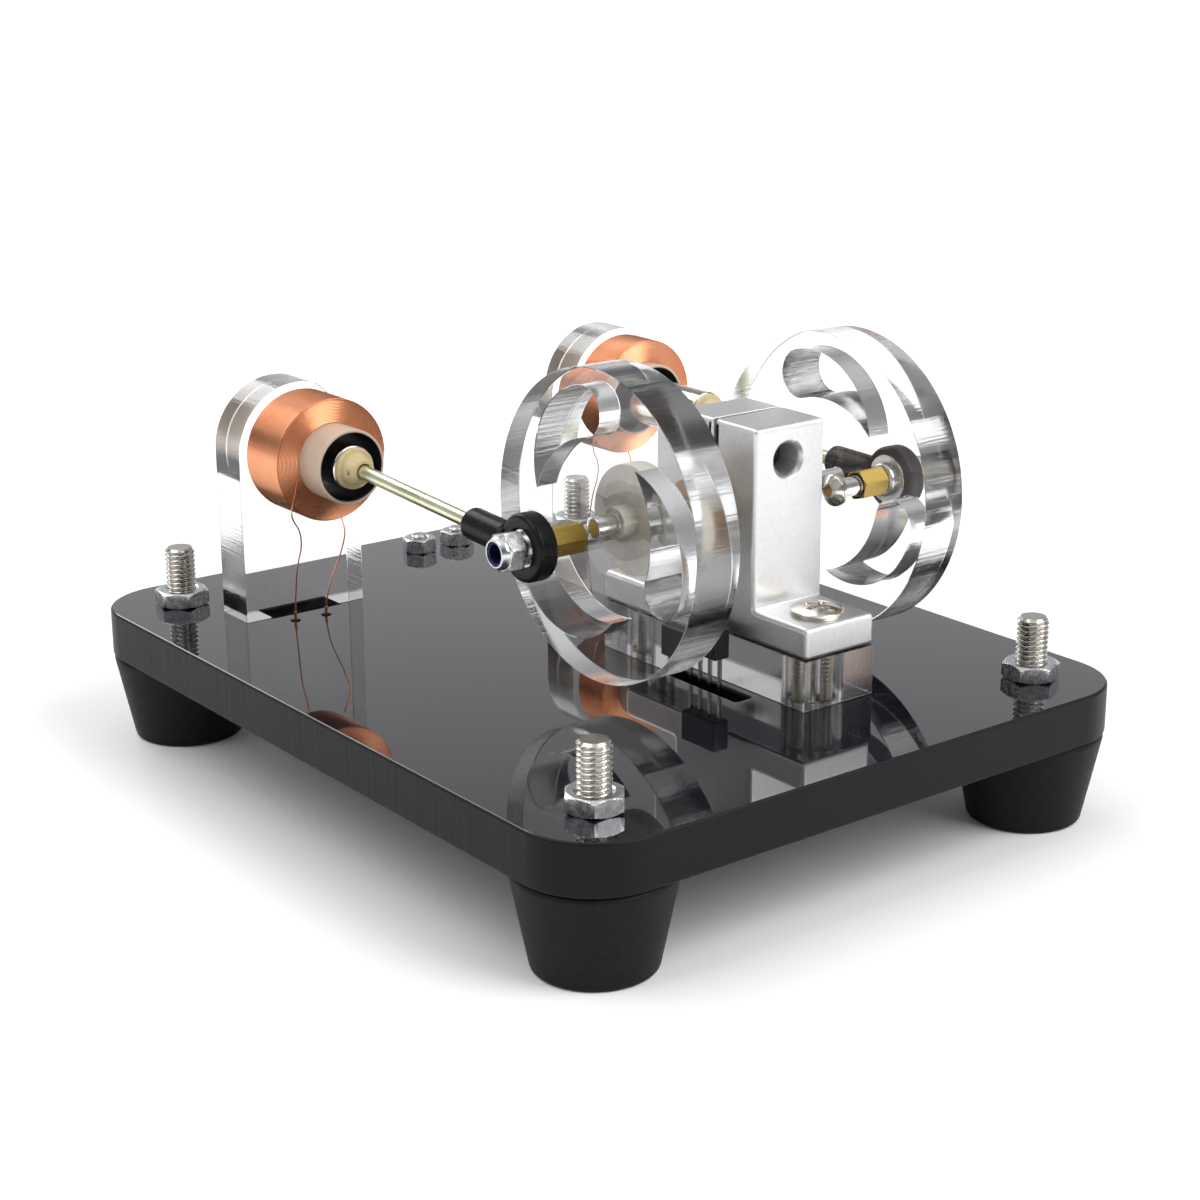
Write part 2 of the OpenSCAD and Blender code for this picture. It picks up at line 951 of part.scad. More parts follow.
// Pistons: a magnet with a stepped bush on its face; the pin crosses the bush at the pivot
module magnet(x, y)
{
  color([0.7, 0.7, 0.7]) y_rod(magnet_r, y + face_back, magnet_l, x, coil_z);
}

module piston_bush(x, y)
{
  color([0.85, 0.78, 0.6])
  translate([x, y, coil_z])
  difference()
  {
    union()
    {
      y_rod(3.4, face_back - 0.8, 0.8);
      y_rod(2.5, face_back - 3.3, 3);
    }
    y_rod(1.6, -3, 3 + face_back + 1);
    x_rod(0.51, -4, 8);
  }
}

module wrist_pin(x, y)
{
  color([0.7, 0.7, 0.7]) x_rod(0.5, x - 2.3, 4.6, y, coil_z);
}

module front_magnet()
{
  magnet(front_x, front_pivot_y);
}

module rear_magnet()
{
  magnet(rear_x, rear_pivot_y);
}

module front_piston_bush()
{
  piston_bush(front_x, front_pivot_y);
}

module rear_piston_bush()
{
  piston_bush(rear_x, rear_pivot_y);
}

module front_wrist_pin()
{
  wrist_pin(front_x, front_pivot_y);
}

module rear_wrist_pin()
{
  wrist_pin(rear_x, rear_pivot_y);
}

echo(front_x = front_x, rear_x = rear_x, front_pivot_y = front_pivot_y, rear_pivot_y = rear_pivot_y);
echo(front_tilt = front_tilt, rear_tilt = rear_tilt, front_pin = front_pin, rear_pin = rear_pin);
base_plate();
foot_near();
foot_left();
foot_right();
foot_far();
foot_bolts();
foot_nuts();
foot_washers();
front_coil_stand();
rear_coil_stand();
front_bobbin();
rear_bobbin();
front_winding_core();
rear_winding_core();
front_winding();
rear_winding();
front_coil_leads();
rear_coil_leads();
support_riser();
shaft_support();
clamp_screw();
support_screws();
support_nuts();
front_bushing();
rear_bushing();
hall_sensor();
hall_leads();
terminal_bolts();
terminal_nuts();
crankshaft();
sensor_disc();
front_flywheel();
rear_flywheel();
crank_screws();
front_standoff_nut();
rear_standoff_nut();
front_rod();
rear_rod();
front_rod_end();
rear_rod_end();
front_bearing();
rear_bearing();
front_stud();
rear_stud();
front_lock_nut();
rear_lock_nut();
front_lock_insert();
rear_lock_insert();
front_magnet();
rear_magnet();
front_piston_bush();
rear_piston_bush();
front_wrist_pin();
rear_wrist_pin();
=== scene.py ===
"""Looks of a demonstration electric motor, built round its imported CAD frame.

Two coils push magnet pistons whose rods turn a crankshaft with two clear flywheels, on a glossy black plate.
Every size is in metres, in the frame's own axes: +Z up, +X along the crankshaft, +Y towards the coils.
"""

import logging
import math
from dataclasses import dataclass, replace
from enum import Enum

import bmesh
import bpy
import numpy as np
from mathutils import Matrix, Vector
from mathutils.geometry import tessellate_polygon


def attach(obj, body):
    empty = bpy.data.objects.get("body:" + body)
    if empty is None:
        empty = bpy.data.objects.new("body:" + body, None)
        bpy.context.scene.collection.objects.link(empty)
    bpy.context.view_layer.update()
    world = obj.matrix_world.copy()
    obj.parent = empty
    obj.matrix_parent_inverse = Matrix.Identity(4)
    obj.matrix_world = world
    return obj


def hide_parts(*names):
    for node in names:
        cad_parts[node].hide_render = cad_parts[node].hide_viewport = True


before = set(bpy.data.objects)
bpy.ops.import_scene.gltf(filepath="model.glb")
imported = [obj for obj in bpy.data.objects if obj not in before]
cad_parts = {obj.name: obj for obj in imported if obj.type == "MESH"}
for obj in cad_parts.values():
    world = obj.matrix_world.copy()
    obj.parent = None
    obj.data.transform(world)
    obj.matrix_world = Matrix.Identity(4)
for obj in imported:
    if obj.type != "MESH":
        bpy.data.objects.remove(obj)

log = logging.getLogger("motor")
MM = 0.001
PHOTO_SIDE = 1200


class Side(Enum):
    """Which of the two rod trains a piece belongs to."""

    FRONT = "front"
    REAR = "rear"


class Axis(Enum):
    """Direction that a turned or extruded piece runs along."""

    X = 0
    Y = 1
    Z = 2


# Shells: plain arrays that become one mesh


@dataclass(frozen=True)
class Shell:
    """Points and faces of one closed surface, before it is put into a mesh.

    Args:
        points: Array of n by 3 places in metres.
        quads: Array of m by 4 point numbers.
        tris: Array of k by 3 point numbers.
        flat_quads: For each quad, whether it is shaded flat.
        flat_tris: For each triangle, whether it is shaded flat.
    """

    points: np.ndarray
    quads: np.ndarray
    tris: np.ndarray
    flat_quads: np.ndarray
    flat_tris: np.ndarray

    def moved(self, matrix: Matrix) -> "Shell":
        """Returns the same surface after a 4 by 4 placement."""
        m = np.array(matrix)
        return replace(self, points=self.points @ m[:3, :3].T + m[:3, 3])


def grid_shell(points: np.ndarray, wrap_rows: bool = False, wrap_cols: bool = True, caps: bool = False) -> Shell:
    """Joins a grid of points into a skin of quads.

    Args:
        points: Array of rows by columns by 3.
        wrap_rows: Whether the last row joins the first.
        wrap_cols: Whether the last column joins the first.
        caps: Whether the first and last rows are closed by a fan round their middle.

    Returns:
        The skin as a shell.
    """
    rows, cols = points.shape[:2]
    index = np.arange(rows * cols).reshape(rows, cols)
    r = np.arange(rows if wrap_rows else rows - 1)
    c = np.arange(cols if wrap_cols else cols - 1)
    r1, c1 = (r + 1) % rows, (c + 1) % cols
    quads = np.stack([index[np.ix_(r, c)], index[np.ix_(r, c1)], index[np.ix_(r1, c1)], index[np.ix_(r1, c)]],
        -1).reshape(-1, 4)
    flat = points.reshape(-1, 3)
    tris = np.zeros((0, 3), int)
    if caps:
        middles = np.stack([points[0].mean(0), points[-1].mean(0)])
        n = len(flat)
        first, last = index[0], index[-1]
        tris = np.concatenate(
            [
                np.stack([np.roll(first, -1), first, np.full(cols, n)], -1),
                np.stack([last, np.roll(last, -1), np.full(cols, n + 1)], -1),
            ]
        )
        flat = np.concatenate([flat, middles])
    return Shell(flat, quads, tris, np.zeros(len(quads), bool), np.ones(len(tris), bool))


def filleted(corners: list[tuple[float, float, float]], steps: int = 4) -> np.ndarray:
    """Rounds the corners of an open polyline.

    Each corner is replaced by points of the arc that touches both its sides: the sides' unit vectors a and b give the
    touching distance r / tan(half angle), and the arc is swept between the two touching points.

    Args:
        corners: Each corner as (u, v, radius); the first and last stay sharp.
        steps: Number of segments in each arc.

    Returns:
        Array of n by 2 points.
    """
    out = [np.array(corners[0][:2])]
    for (pu, pv, _), (u, v, radius), (nu, nv, _) in zip(corners, corners[1:], corners[2:]):
        here = np.array([u, v])
        a, b = np.array([pu, pv]) - here, np.array([nu, nv]) - here
        la, lb = np.linalg.norm(a), np.linalg.norm(b)
        a, b = a / la, b / lb
        half = math.acos(float(np.clip(a @ b, -1, 1))) / 2
        if radius <= 0 or half > 1.56:
            out.append(here)
            continue
        reach = min(radius / math.tan(half), 0.49 * la, 0.49 * lb)
        r = reach * math.tan(half)
        middle = here + (a + b) / np.linalg.norm(a + b) * r / math.sin(half)
        start, end = here + a * reach - middle, here + b * reach - middle
        turn = math.acos(float(np.clip(start @ end / r / r, -1, 1)))
        t = np.linspace(0, 1, steps + 1)[:, None]
        out.extend(middle + (np.sin((1 - t) * turn) * start + np.sin(t * turn) * end) / math.sin(turn))
    out.append(np.array(corners[-1][:2]))
    return np.array(out)


def lathe_shell(profile: np.ndarray, segments: int = 96, closed: bool = True) -> Shell:
    """Turns a profile about the X axis.

    A point (a, r) at angle t lands at (a, r cos t, r sin t).

    Args:
        profile: Array of n by 2: place along the axis and radius.
        segments: Columns round the axis.
        closed: Whether the profile is a loop, as for a ring; otherwise its ends lie on the axis and are closed by fans.

    Returns:
        The turned skin.
    """
    t = np.linspace(0, 2 * np.pi, segments, endpoint=False)
    a, r = profile[:, 0, None], profile[:, 1, None]
    points = np.stack([np.broadcast_to(a, (len(profile), segments)), r * np.cos(t), r * np.sin(t)], -1)
    return grid_shell(points, wrap_rows=closed, caps=not closed)


def ring_profile(start: float, end: float, inner: float, outer: float, soft: float) -> np.ndarray:
    """Closed profile of a ring between two places along its axis.

    Args:
        start: Lower end along the axis.
        end: Upper end along the axis.
        inner: Bore radius.
        outer: Outer radius.
        soft: Radius of the four rounded edges.

    Returns:
        Array of n by 2 points.
    """
    middle = (inner + outer) / 2
    return filleted(
        [(start, middle, 0), (start, outer, soft), (end, outer, soft), (end, inner, soft), (start, inner, soft),
            (start, middle, 0)]
    )[:-1]


def rod_profile(start: float, end: float, radius: float, soft: float) -> np.ndarray:
    """Open profile of a solid rod with rounded ends, from axis to axis."""
    return filleted([(start, 1e-6, 0), (start, radius, soft), (end, radius, soft), (end, 1e-6, 0)])


def thread_shell(start: float, end: float, radius: float, pitch: float, segments: int = 36,
        per_turn: int = 8) -> Shell:
    """Screw thread along X.

    The radius at place x and angle t is the outer radius less the thread's depth times a trapezoid wave of
    x / pitch - t / (2 pi), and never more than a 45 degree cone at either end.

    Args:
        start: Lower end along X.
        end: Upper end along X.
        radius: Outer radius.
        pitch: Rise for one turn.
        segments: Columns round the axis.
        per_turn: Rows for one turn.

    Returns:
        The thread, closed at both ends.
    """
    rows = max(4, int(round((end - start) / pitch * per_turn)) + 1)
    x = np.linspace(start, end, rows)[:, None]
    t = np.linspace(0, 2 * np.pi, segments, endpoint=False)[None, :]
    wave = np.abs(2 * np.mod(x / pitch - t / (2 * np.pi), 1) - 1)
    depth = 0.55 * pitch * np.clip(1.5 * wave - 0.25, 0, 1)
    cone = radius - 0.62 * pitch + np.minimum(x - start, end - x)
    r = np.minimum(radius - depth, np.maximum(cone, radius * 0.55))
    return grid_shell(np.stack([np.broadcast_to(x, r.shape), r * np.cos(t), r * np.sin(t)], -1), caps=True)


def nut_shell(across: float, height: float, bore: float, both: bool = True) -> Shell:
    """Hexagon nut along X with turned chamfers.

    At height x the outer radius is the smaller of the hexagon's own radius, across / 2 / cos(angle to the flat's
    middle), and a 30 degree cone that meets the flats' corners below each end. The bore has a short countersink.

    Args:
        across: Distance across the flats.
        height: Height of the nut.
        bore: Radius of the thread.
        both: Whether the lower end is chamfered as well.

    Returns:
        The nut as a closed shell.
    """
    t = np.linspace(0, 2 * np.pi, 144, endpoint=False)
    hexagon = across / 2 / np.cos(np.mod(t + np.pi / 6, np.pi / 3) - np.pi / 6)
    flat_r, corner = across / 2 * 0.97, across / 2 / math.cos(math.pi / 6)
    rise = (corner - flat_r) * math.tan(math.radians(30))
    down = np.linspace(0, rise, 6) if both else np.zeros(1)
    up = height - np.linspace(rise, 0, 6)
    outer = [np.minimum(hexagon, (flat_r + h / math.tan(math.radians(30))) if both else corner * 2) for h in down]
    outer += [np.minimum(hexagon, flat_r + (height - h) / math.tan(math.radians(30))) for h in up]
    chamfer = 0.12 * across / 2
    rows = [(chamfer * 0.6, np.full_like(t, bore)), (0.0, np.full_like(t, bore + chamfer))]
    rows += list(zip(list(down) + list(up), outer))
    rows += [(height, np.full_like(t, bore + chamfer)), (height - chamfer * 0.6, np.full_like(t, bore))]
    points = np.stack([np.stack([np.full_like(t, x), r * np.cos(t), r * np.sin(t)], -1) for x, r in rows])
    return grid_shell(points, wrap_rows=True)


def tube_shell(path: np.ndarray, radius: float, sides: int, side: tuple[float, float, float]) -> Shell:
    """Carries a circle along a path.

    Each ring is square to the path's own direction d; its axes are the unit vectors of d x side and d x (d x side).

    Args:
        path: Array of n by 3 points.
        radius: Radius of the tube.
        sides: Columns of the tube.
        side: A direction that the path never takes.

    Returns:
        The tube, closed at both ends.
    """
    d = np.gradient(path, axis=0)
    d /= np.linalg.norm(d, axis=1, keepdims=True)
    u = np.cross(d, np.array(side))
    u /= np.linalg.norm(u, axis=1, keepdims=True)
    w = np.cross(d, u)
    t = np.linspace(0, 2 * np.pi, sides, endpoint=False)[None, :, None]
    points = path[:, None] + radius * (np.cos(t) * u[:, None] + np.sin(t) * w[:, None])
    return grid_shell(points, caps=True)


def inset(outline: np.ndarray, distance: float) -> np.ndarray:
    """Moves a closed outline towards its own left side.

    Each point moves along the mean of its two sides' left normals, lengthened so that both sides move by distance.
    """
    ahead = np.roll(outline, -1, 0) - outline
    ahead /= np.linalg.norm(ahead, axis=1, keepdims=True)
    left = np.stack([-ahead[:, 1], ahead[:, 0]], -1)
    back = np.roll(left, 1, 0)
    mean = left + back
    mean /= np.linalg.norm(mean, axis=1, keepdims=True)
    stretch = np.clip(1 / np.maximum((mean * left).sum(1, keepdims=True), 0.4), 1, 2.2)
    return outline + mean * stretch * distance


def prism_shell(outlines: list[np.ndarray], depth: float, soft: float, steps: int = 3) -> Shell:
    """Extrudes an outline with holes from z 0 to depth, with rounded edges.

    A wall's row at angle p from the face is set in by soft (1 - cos p) and stands soft (1 - sin p) from the face.

    Args:
        outlines: The outer outline anticlockwise, then each hole clockwise, as arrays of n by 2.
        depth: Thickness.
        soft: Radius of the rounded edges.
        steps: Rows of each rounding.

    Returns:
        The solid's closed skin.
    """
    p = np.linspace(0, np.pi / 2, steps + 1)
    offsets = soft * (1 - np.sin(p))
    heights = soft * (1 - np.cos(p))
    rows = [(o, h) for o, h in zip(offsets, heights)] + [(o, depth - h) for o, h in zip(offsets[::-1], heights[::-1])]
    walls, lower, upper, start = [], [], [], 0
    for outline in outlines:
        grid = np.stack([np.column_stack([inset(outline, o), np.full(len(outline), h)]) for o, h in rows])
        walls.append(grid_shell(grid))
        n = len(outline)
        lower.append((start, grid[0]))
        upper.append((start + (len(rows) - 1) * n, grid[-1]))
        start += grid.shape[0] * n
    tris = []
    for group, flip in ((lower, True), (upper, False)):
        numbers = np.concatenate([first + np.arange(len(g)) for first, g in group])
        found = tessellate_polygon([[Vector(q) for q in g] for _, g in group])
        corner = numbers[np.array(found)]
        tris.append(oriented(corner, np.concatenate([g for _, g in group]), np.array(found), flip))
    shell = joined(walls)
    tris = np.concatenate(tris)
    return replace(shell, tris=tris, flat_tris=np.ones(len(tris), bool))


def oriented(numbers: np.ndarray, points: np.ndarray, local: np.ndarray, down: bool) -> np.ndarray:
    """Turns cap triangles so that they all face up, or all down, by the sign of their area in the plane."""
    a, b, c = (points[local[:, k], :2] for k in range(3))
    area = (b[:, 0] - a[:, 0]) * (c[:, 1] - a[:, 1]) - (b[:, 1] - a[:, 1]) * (c[:, 0] - a[:, 0])
    wrong = (area < 0) ^ down
    out = numbers.copy()
    out[wrong] = out[wrong][:, ::-1]
    return out


def joined(shells: list[Shell]) -> Shell:
    """Puts several shells into one, each with its point numbers moved on."""
    starts = np.cumsum([0] + [len(s.points) for s in shells[:-1]])
    return Shell(
        np.concatenate([s.points for s in shells]),
        np.concatenate([s.quads + n for s, n in zip(shells, starts)]),
        np.concatenate([s.tris + n for s, n in zip(shells, starts)]),
        np.concatenate([s.flat_quads for s in shells]),
        np.concatenate([s.flat_tris for s in shells]),
    )


def arc(cx: float, cy: float, r: float, start: float, end: float, count: int) -> np.ndarray:
    """Points of a circle's arc from one angle to another, in degrees."""
    t = np.radians(np.linspace(start, end, count))
    return np.column_stack([cx + r * np.cos(t), cy + r * np.sin(t)])


def circle(cx: float, cy: float, r: float, count: int = 64, hole: bool = False) -> np.ndarray:
    """Closed circle, anticlockwise or, for a hole, clockwise."""
    return arc(cx, cy, r, 360 if hole else 0, 0 if hole else 360, count + 1)[:-1]


def slot_hole(cx: float, cy: float, x: float, y: float, corner: float = 0.3 * MM) -> np.ndarray:
    """Clockwise rectangular hole with small rounded corners."""
    parts = [
        arc(cx + sx * (x / 2 - corner), cy + sy * (y / 2 - corner), corner, a, a - 90, 5)
        for sx, sy, a in ((1, 1, 90), (1, -1, 0), (-1, -1, -90), (-1, 1, -180))
    ]
    return np.concatenate(parts)


def along(axis: Axis, x: float = 0, y: float = 0, z: float = 0, turn: float = 0.0) -> Matrix:
    """Placement of a shell made along X: turned in degrees about itself, laid along an axis, then moved."""
    lay = {Axis.X: Matrix(), Axis.Y: Matrix.Rotation(math.pi / 2, 4, "Z"),
        Axis.Z: Matrix.Rotation(-math.pi / 2, 4, "Y")}[axis]
    return Matrix.Translation((x, y, z)) @ lay @ Matrix.Rotation(math.radians(turn), 4, "X")


def faced(axis: Axis, x: float = 0, y: float = 0, z: float = 0) -> Matrix:
    """Placement of a prism drawn in X and Y: extruded along X over Y and Z, along Y over X and Z, or up."""
    rows = {
        Axis.X: ((0, 0, 1), (1, 0, 0), (0, 1, 0)),
        Axis.Y: ((1, 0, 0), (0, 0, 1), (0, 1, 0)),
        Axis.Z: ((1, 0, 0), (0, 1, 0), (0, 0, 1)),
    }[axis]
    return Matrix.Translation((x, y, z)) @ Matrix(rows).to_4x4()


def mesh_object(name: str, shells: list[Shell], crease: float = 32.0) -> bpy.types.Object:
    """Makes one mesh object out of shells.

    Args:
        name: Name of the piece.
        shells: Its surfaces.
        crease: Edges sharper than this many degrees are shaded as edges.

    Returns:
        The object, at the origin.
    """
    shell = joined(shells)
    mesh = bpy.data.meshes.new(name)
    counts = np.concatenate([np.full(len(shell.quads), 4), np.full(len(shell.tris), 3)])
    loops = np.concatenate([shell.quads.ravel(), shell.tris.ravel()])
    mesh.vertices.add(len(shell.points))
    mesh.vertices.foreach_set("co", shell.points.ravel())
    mesh.loops.add(len(loops))
    mesh.loops.foreach_set("vertex_index", loops)
    mesh.polygons.add(len(counts))
    mesh.polygons.foreach_set("loop_start", np.concatenate([[0], np.cumsum(counts)[:-1]]))
    mesh.update(calc_edges=True)
    flat = np.concatenate([shell.flat_quads, shell.flat_tris])
    mesh.polygons.foreach_set("use_smooth", ~flat)
    bm = bmesh.new()
    bm.from_mesh(mesh)
    bmesh.ops.remove_doubles(bm, verts=bm.verts, dist=2e-7)
    bmesh.ops.recalc_face_normals(bm, faces=bm.faces)
    bm.to_mesh(mesh)
    bm.free()
    return finished(name, mesh, crease)


def finished(name: str, mesh: bpy.types.Mesh, crease: float) -> bpy.types.Object:
    """Makes an object of a mesh whose flat faces stay flat and whose large faces lead the shading.

    Args:
        name: Name of the piece.
        mesh: Its mesh, with each face marked smooth or flat.
        crease: Edges sharper than this many degrees are shaded as edges.

    Returns:
        The object, at the origin.
    """
    smooth = np.zeros(len(mesh.polygons), bool)
    mesh.polygons.foreach_get("use_smooth", smooth)
    mesh.set_sharp_from_angle(angle=math.radians(crease))
    mesh.polygons.foreach_set("use_smooth", smooth)
    obj = bpy.data.objects.new(name, mesh)
    bpy.context.scene.collection.objects.link(obj)
    lead = obj.modifiers.new("shading", "WEIGHTED_NORMAL")
    lead.keep_sharp = True
    lead.weight = 60
    return obj


def softened(name: str, node: str, width: float, steps: int = 3, crease: float = 40.0) -> bpy.types.Object:
    """Copies a CAD node as a clean solid and rounds its sharp edges with a Bevel modifier.

    Args:
        name: Name of the new piece.
        node: The CAD node.
        width: Width of the rounding.
        steps: Its segments.
        crease: Only edges sharper than this many degrees are rounded.

    Returns:
        The new object.
    """
    mesh = bpy.data.meshes.new(name)
    bm = bmesh.new()
    bm.from_mesh(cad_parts[node].data)
    bmesh.ops.remove_doubles(bm, verts=bm.verts, dist=2e-7)
    bmesh.ops.dissolve_limit(bm, angle_limit=math.radians(0.5), verts=bm.verts, edges=bm.edges)
    bmesh.ops.recalc_face_normals(bm, faces=bm.faces)
    for face in bm.faces:
        face.smooth = True
    bm.to_mesh(mesh)
    bm.free()
    mesh.set_sharp_from_angle(angle=math.radians(crease))
    obj = bpy.data.objects.new(name, mesh)
    bpy.context.scene.collection.objects.link(obj)
    bevel = obj.modifiers.new("rounding", "BEVEL")
    bevel.width = width
    bevel.segments = steps
    bevel.limit_method = "ANGLE"
    bevel.angle_limit = math.radians(crease)
    bevel.harden_normals = True
    return obj


def cut(name: str, blank_obj: bpy.types.Object, tool: bpy.types.Object, crease: float) -> bpy.types.Object:
    """Cuts one object out of another and keeps the result as a plain mesh.

    Args:
        name: Name of the new piece.
        blank_obj: The solid; it is used up.
        tool: The cutter; it is used up.
        crease: Edges sharper than this many degrees are shaded as edges.

    Returns:
        The new object.
    """
    blank_obj.modifiers.clear()
    cutter = blank_obj.modifiers.new("cut", "BOOLEAN")
    cutter.operation, cutter.solver, cutter.object = "DIFFERENCE", "EXACT", tool
    graph = bpy.context.evaluated_depsgraph_get()
    mesh = bpy.data.meshes.new_from_object(blank_obj.evaluated_get(graph))
    mesh.name = name
    for used in (blank_obj, tool):
        data = used.data
        bpy.data.objects.remove(used)
        bpy.data.meshes.remove(data)
    return finished(name, mesh, crease)


# Finishes


class Graph:
    """Short way to make nodes and links in a material or a group."""

    def __init__(self, tree: bpy.types.NodeTree) -> None:
        """Keeps the tree that nodes are made in."""
        self.tree = tree

    def node(self, kind: str, inputs: dict | None = None, **settings) -> bpy.types.Node:
        """Makes a node.

        Args:
            kind: The node's type name.
            inputs: Socket name or number to a value, or to another node's output socket.
            **settings: The node's own properties.

        Returns:
            The node.
        """
        made = self.tree.nodes.new(kind)
        for key, value in settings.items():
            setattr(made, key, value)
        for key, value in (inputs or {}).items():
            if isinstance(value, bpy.types.NodeSocket):
                self.tree.links.new(value, made.inputs[key])
            else:
                made.inputs[key].default_value = value
        return made

    def math(self, operation: str, a, b=0.0, clamp: bool = False) -> bpy.types.NodeSocket:
        """Returns the output of a Math node on two values or sockets."""
        return self.node("ShaderNodeMath", {0: a, 1: b}, operation=operation, use_clamp=clamp).outputs[0]

    def mix(self, factor, a, b) -> bpy.types.NodeSocket:
        """Returns a colour mixed from a to b by factor."""
        return self.node("ShaderNodeMix", {0: factor, 6: a, 7: b}, data_type="RGBA").outputs[2]


def group_tree(
    name: str, inputs: list[tuple[str, str, object]], outputs: list[tuple[str, str]]
) -> tuple[Graph, dict, bpy.types.Node]:
    """Starts a shader node group.

    Args:
        name: The group's name.
        inputs: Each as name, socket type and default.
        outputs: Each as name and socket type.

    Returns:
        The graph, the input sockets by name and the output node.
    """
    tree = bpy.data.node_groups.new(name, "ShaderNodeTree")
    for label, kind, default in inputs:
        socket = tree.interface.new_socket(label, in_out="INPUT", socket_type=kind)
        if default is not None:
            socket.default_value = default
    for label, kind in outputs:
        tree.interface.new_socket(label, in_out="OUTPUT", socket_type=kind)
    graph = Graph(tree)
    source = graph.node("NodeGroupInput")
    sink = graph.node("NodeGroupOutput")
    return graph, {s.name: s for s in source.outputs}, sink


FLOAT, COLOUR, VECTOR = "NodeSocketFloat", "NodeSocketColor", "NodeSocketVector"


def mottle_group() -> bpy.types.NodeTree:
    """Soft cloudy variation: a three-octave noise moved to 0..1 about its middle, once coarse and once fine."""
    g, i, out = group_tree("mottle", [("Place", VECTOR, None), ("Scale", FLOAT, 400.0),
        ("Stretch", VECTOR, (1, 1, 1))], [("Mask", FLOAT), ("Fine", FLOAT)])
    place = g.node("ShaderNodeVectorMath", {0: i["Place"], 1: i["Stretch"]}, operation="MULTIPLY").outputs[0]
    coarse = g.node("ShaderNodeTexNoise", {"Vector": place, "Scale": i["Scale"], "Detail": 3.0,
        "Roughness": 0.6}).outputs[0]
    quick = g.math("MULTIPLY", i["Scale"], 6.0)
    fine = g.node("ShaderNodeTexNoise", {"Vector": place, "Scale": quick, "Detail": 2.0}).outputs[0]
    spread = g.node("ShaderNodeMapRange", {0: coarse, 1: 0.3, 2: 0.7, 3: 0.0, 4: 1.0}).outputs[0]
    g.tree.links.new(spread, out.inputs["Mask"])
    g.tree.links.new(fine, out.inputs["Fine"])
    return g.tree


def smudge_group() -> bpy.types.NodeTree:
    """Handling marks: sparse fine specks and long hairline scratches, both as masks from 0 to 1."""
    g, i, out = group_tree("handling", [("Place", VECTOR, None), ("Amount", FLOAT, 0.5)],
        [("Specks", FLOAT), ("Lines", FLOAT)])
    grains = g.node("ShaderNodeTexVoronoi", {"Vector": i["Place"], "Scale": 900.0}, feature="F1").outputs["Distance"]
    near = g.node("ShaderNodeMapRange", {0: grains, 1: 0.05, 2: 0.16, 3: 1.0, 4: 0.0}).outputs[0]
    patch = g.node("ShaderNodeTexNoise", {"Vector": i["Place"], "Scale": 60.0, "Detail": 2.0}).outputs[0]
    where = g.node("ShaderNodeMapRange", {0: patch, 1: 0.5, 2: 0.7, 3: 0.0, 4: 1.0}).outputs[0]
    g.tree.links.new(g.math("MULTIPLY", g.math("MULTIPLY", near, where), i["Amount"]), out.inputs["Specks"])
    turned = g.node("ShaderNodeMapping", {"Vector": i["Place"], "Rotation": (0.0, 0.0, 0.6),
        "Scale": (40.0, 2600.0, 40.0)}).outputs[0]
    lines = g.node("ShaderNodeTexNoise", {"Vector": turned, "Scale": 1.0, "Detail": 1.0}).outputs[0]
    thin = g.node("ShaderNodeMapRange", {0: lines, 1: 0.68, 2: 0.74, 3: 0.0, 4: 1.0}).outputs[0]
    g.tree.links.new(g.math("MULTIPLY", g.math("MULTIPLY", thin, where), i["Amount"]), out.inputs["Lines"])
    return g.tree


class Effects:
    """The shared node groups, built once."""

    def __init__(self) -> None:
        """Builds every group."""
        self.mottle = mottle_group()
        self.handling = smudge_group()


@dataclass(frozen=True)
class Finish:
    """A finish: base look and how much the surface varies.

    Args:
        name: The record's material slot.
        colour: Base colour, linear.
        other: Colour that the mottling moves towards.
        metallic: 0 or 1.
        rough: Roughness.
        rough_span: How far roughness moves with the mottling.
        scale: Mottling scale per metre.
        bump: Bump distance in metres.
        stretch: Factors on X, Y and Z that draw the mottling out into grain.
        specular: Specular level.
        coat: Weight of a clear coat.
    """

    name: str
    colour: tuple[float, float, float]
    other: tuple[float, float, float]
    metallic: float = 0.0
    rough: float = 0.4
    rough_span: float = 0.1
    scale: float = 400.0
    bump: float = 0.00001
    stretch: tuple[float, float, float] = (1.0, 1.0, 1.0)
    specular: float = 0.5
    coat: float = 0.0

    def build(self, effects: Effects) -> bpy.types.Material:
        """Makes the material.

        Args:
            effects: The shared node groups.

        Returns:
            The material, named after the slot.
        """
        material, g, shader, place = blank(self.name)
        cloud = g.node("ShaderNodeGroup", {}, node_tree=effects.mottle)
        g.tree.links.new(place, cloud.inputs["Place"])
        cloud.inputs["Scale"].default_value = self.scale
        cloud.inputs["Stretch"].default_value = self.stretch
        g.tree.links.new(g.mix(cloud.outputs["Mask"], (*self.colour, 1), (*self.other, 1)),
            shader.inputs["Base Color"])
        rough = g.node("ShaderNodeMapRange", {0: cloud.outputs["Mask"], 3: self.rough - self.rough_span / 2,
            4: self.rough + self.rough_span / 2})
        g.tree.links.new(rough.outputs[0], shader.inputs["Roughness"])
        shader.inputs["Metallic"].default_value = self.metallic
        shader.inputs["Specular IOR Level"].default_value = self.specular
        shader.inputs["Coat Weight"].default_value = self.coat
        bump = g.node("ShaderNodeBump", {"Height": cloud.outputs["Fine"], "Distance": self.bump, "Strength": 0.6})
        g.tree.links.new(bump.outputs[0], shader.inputs["Normal"])
        return material


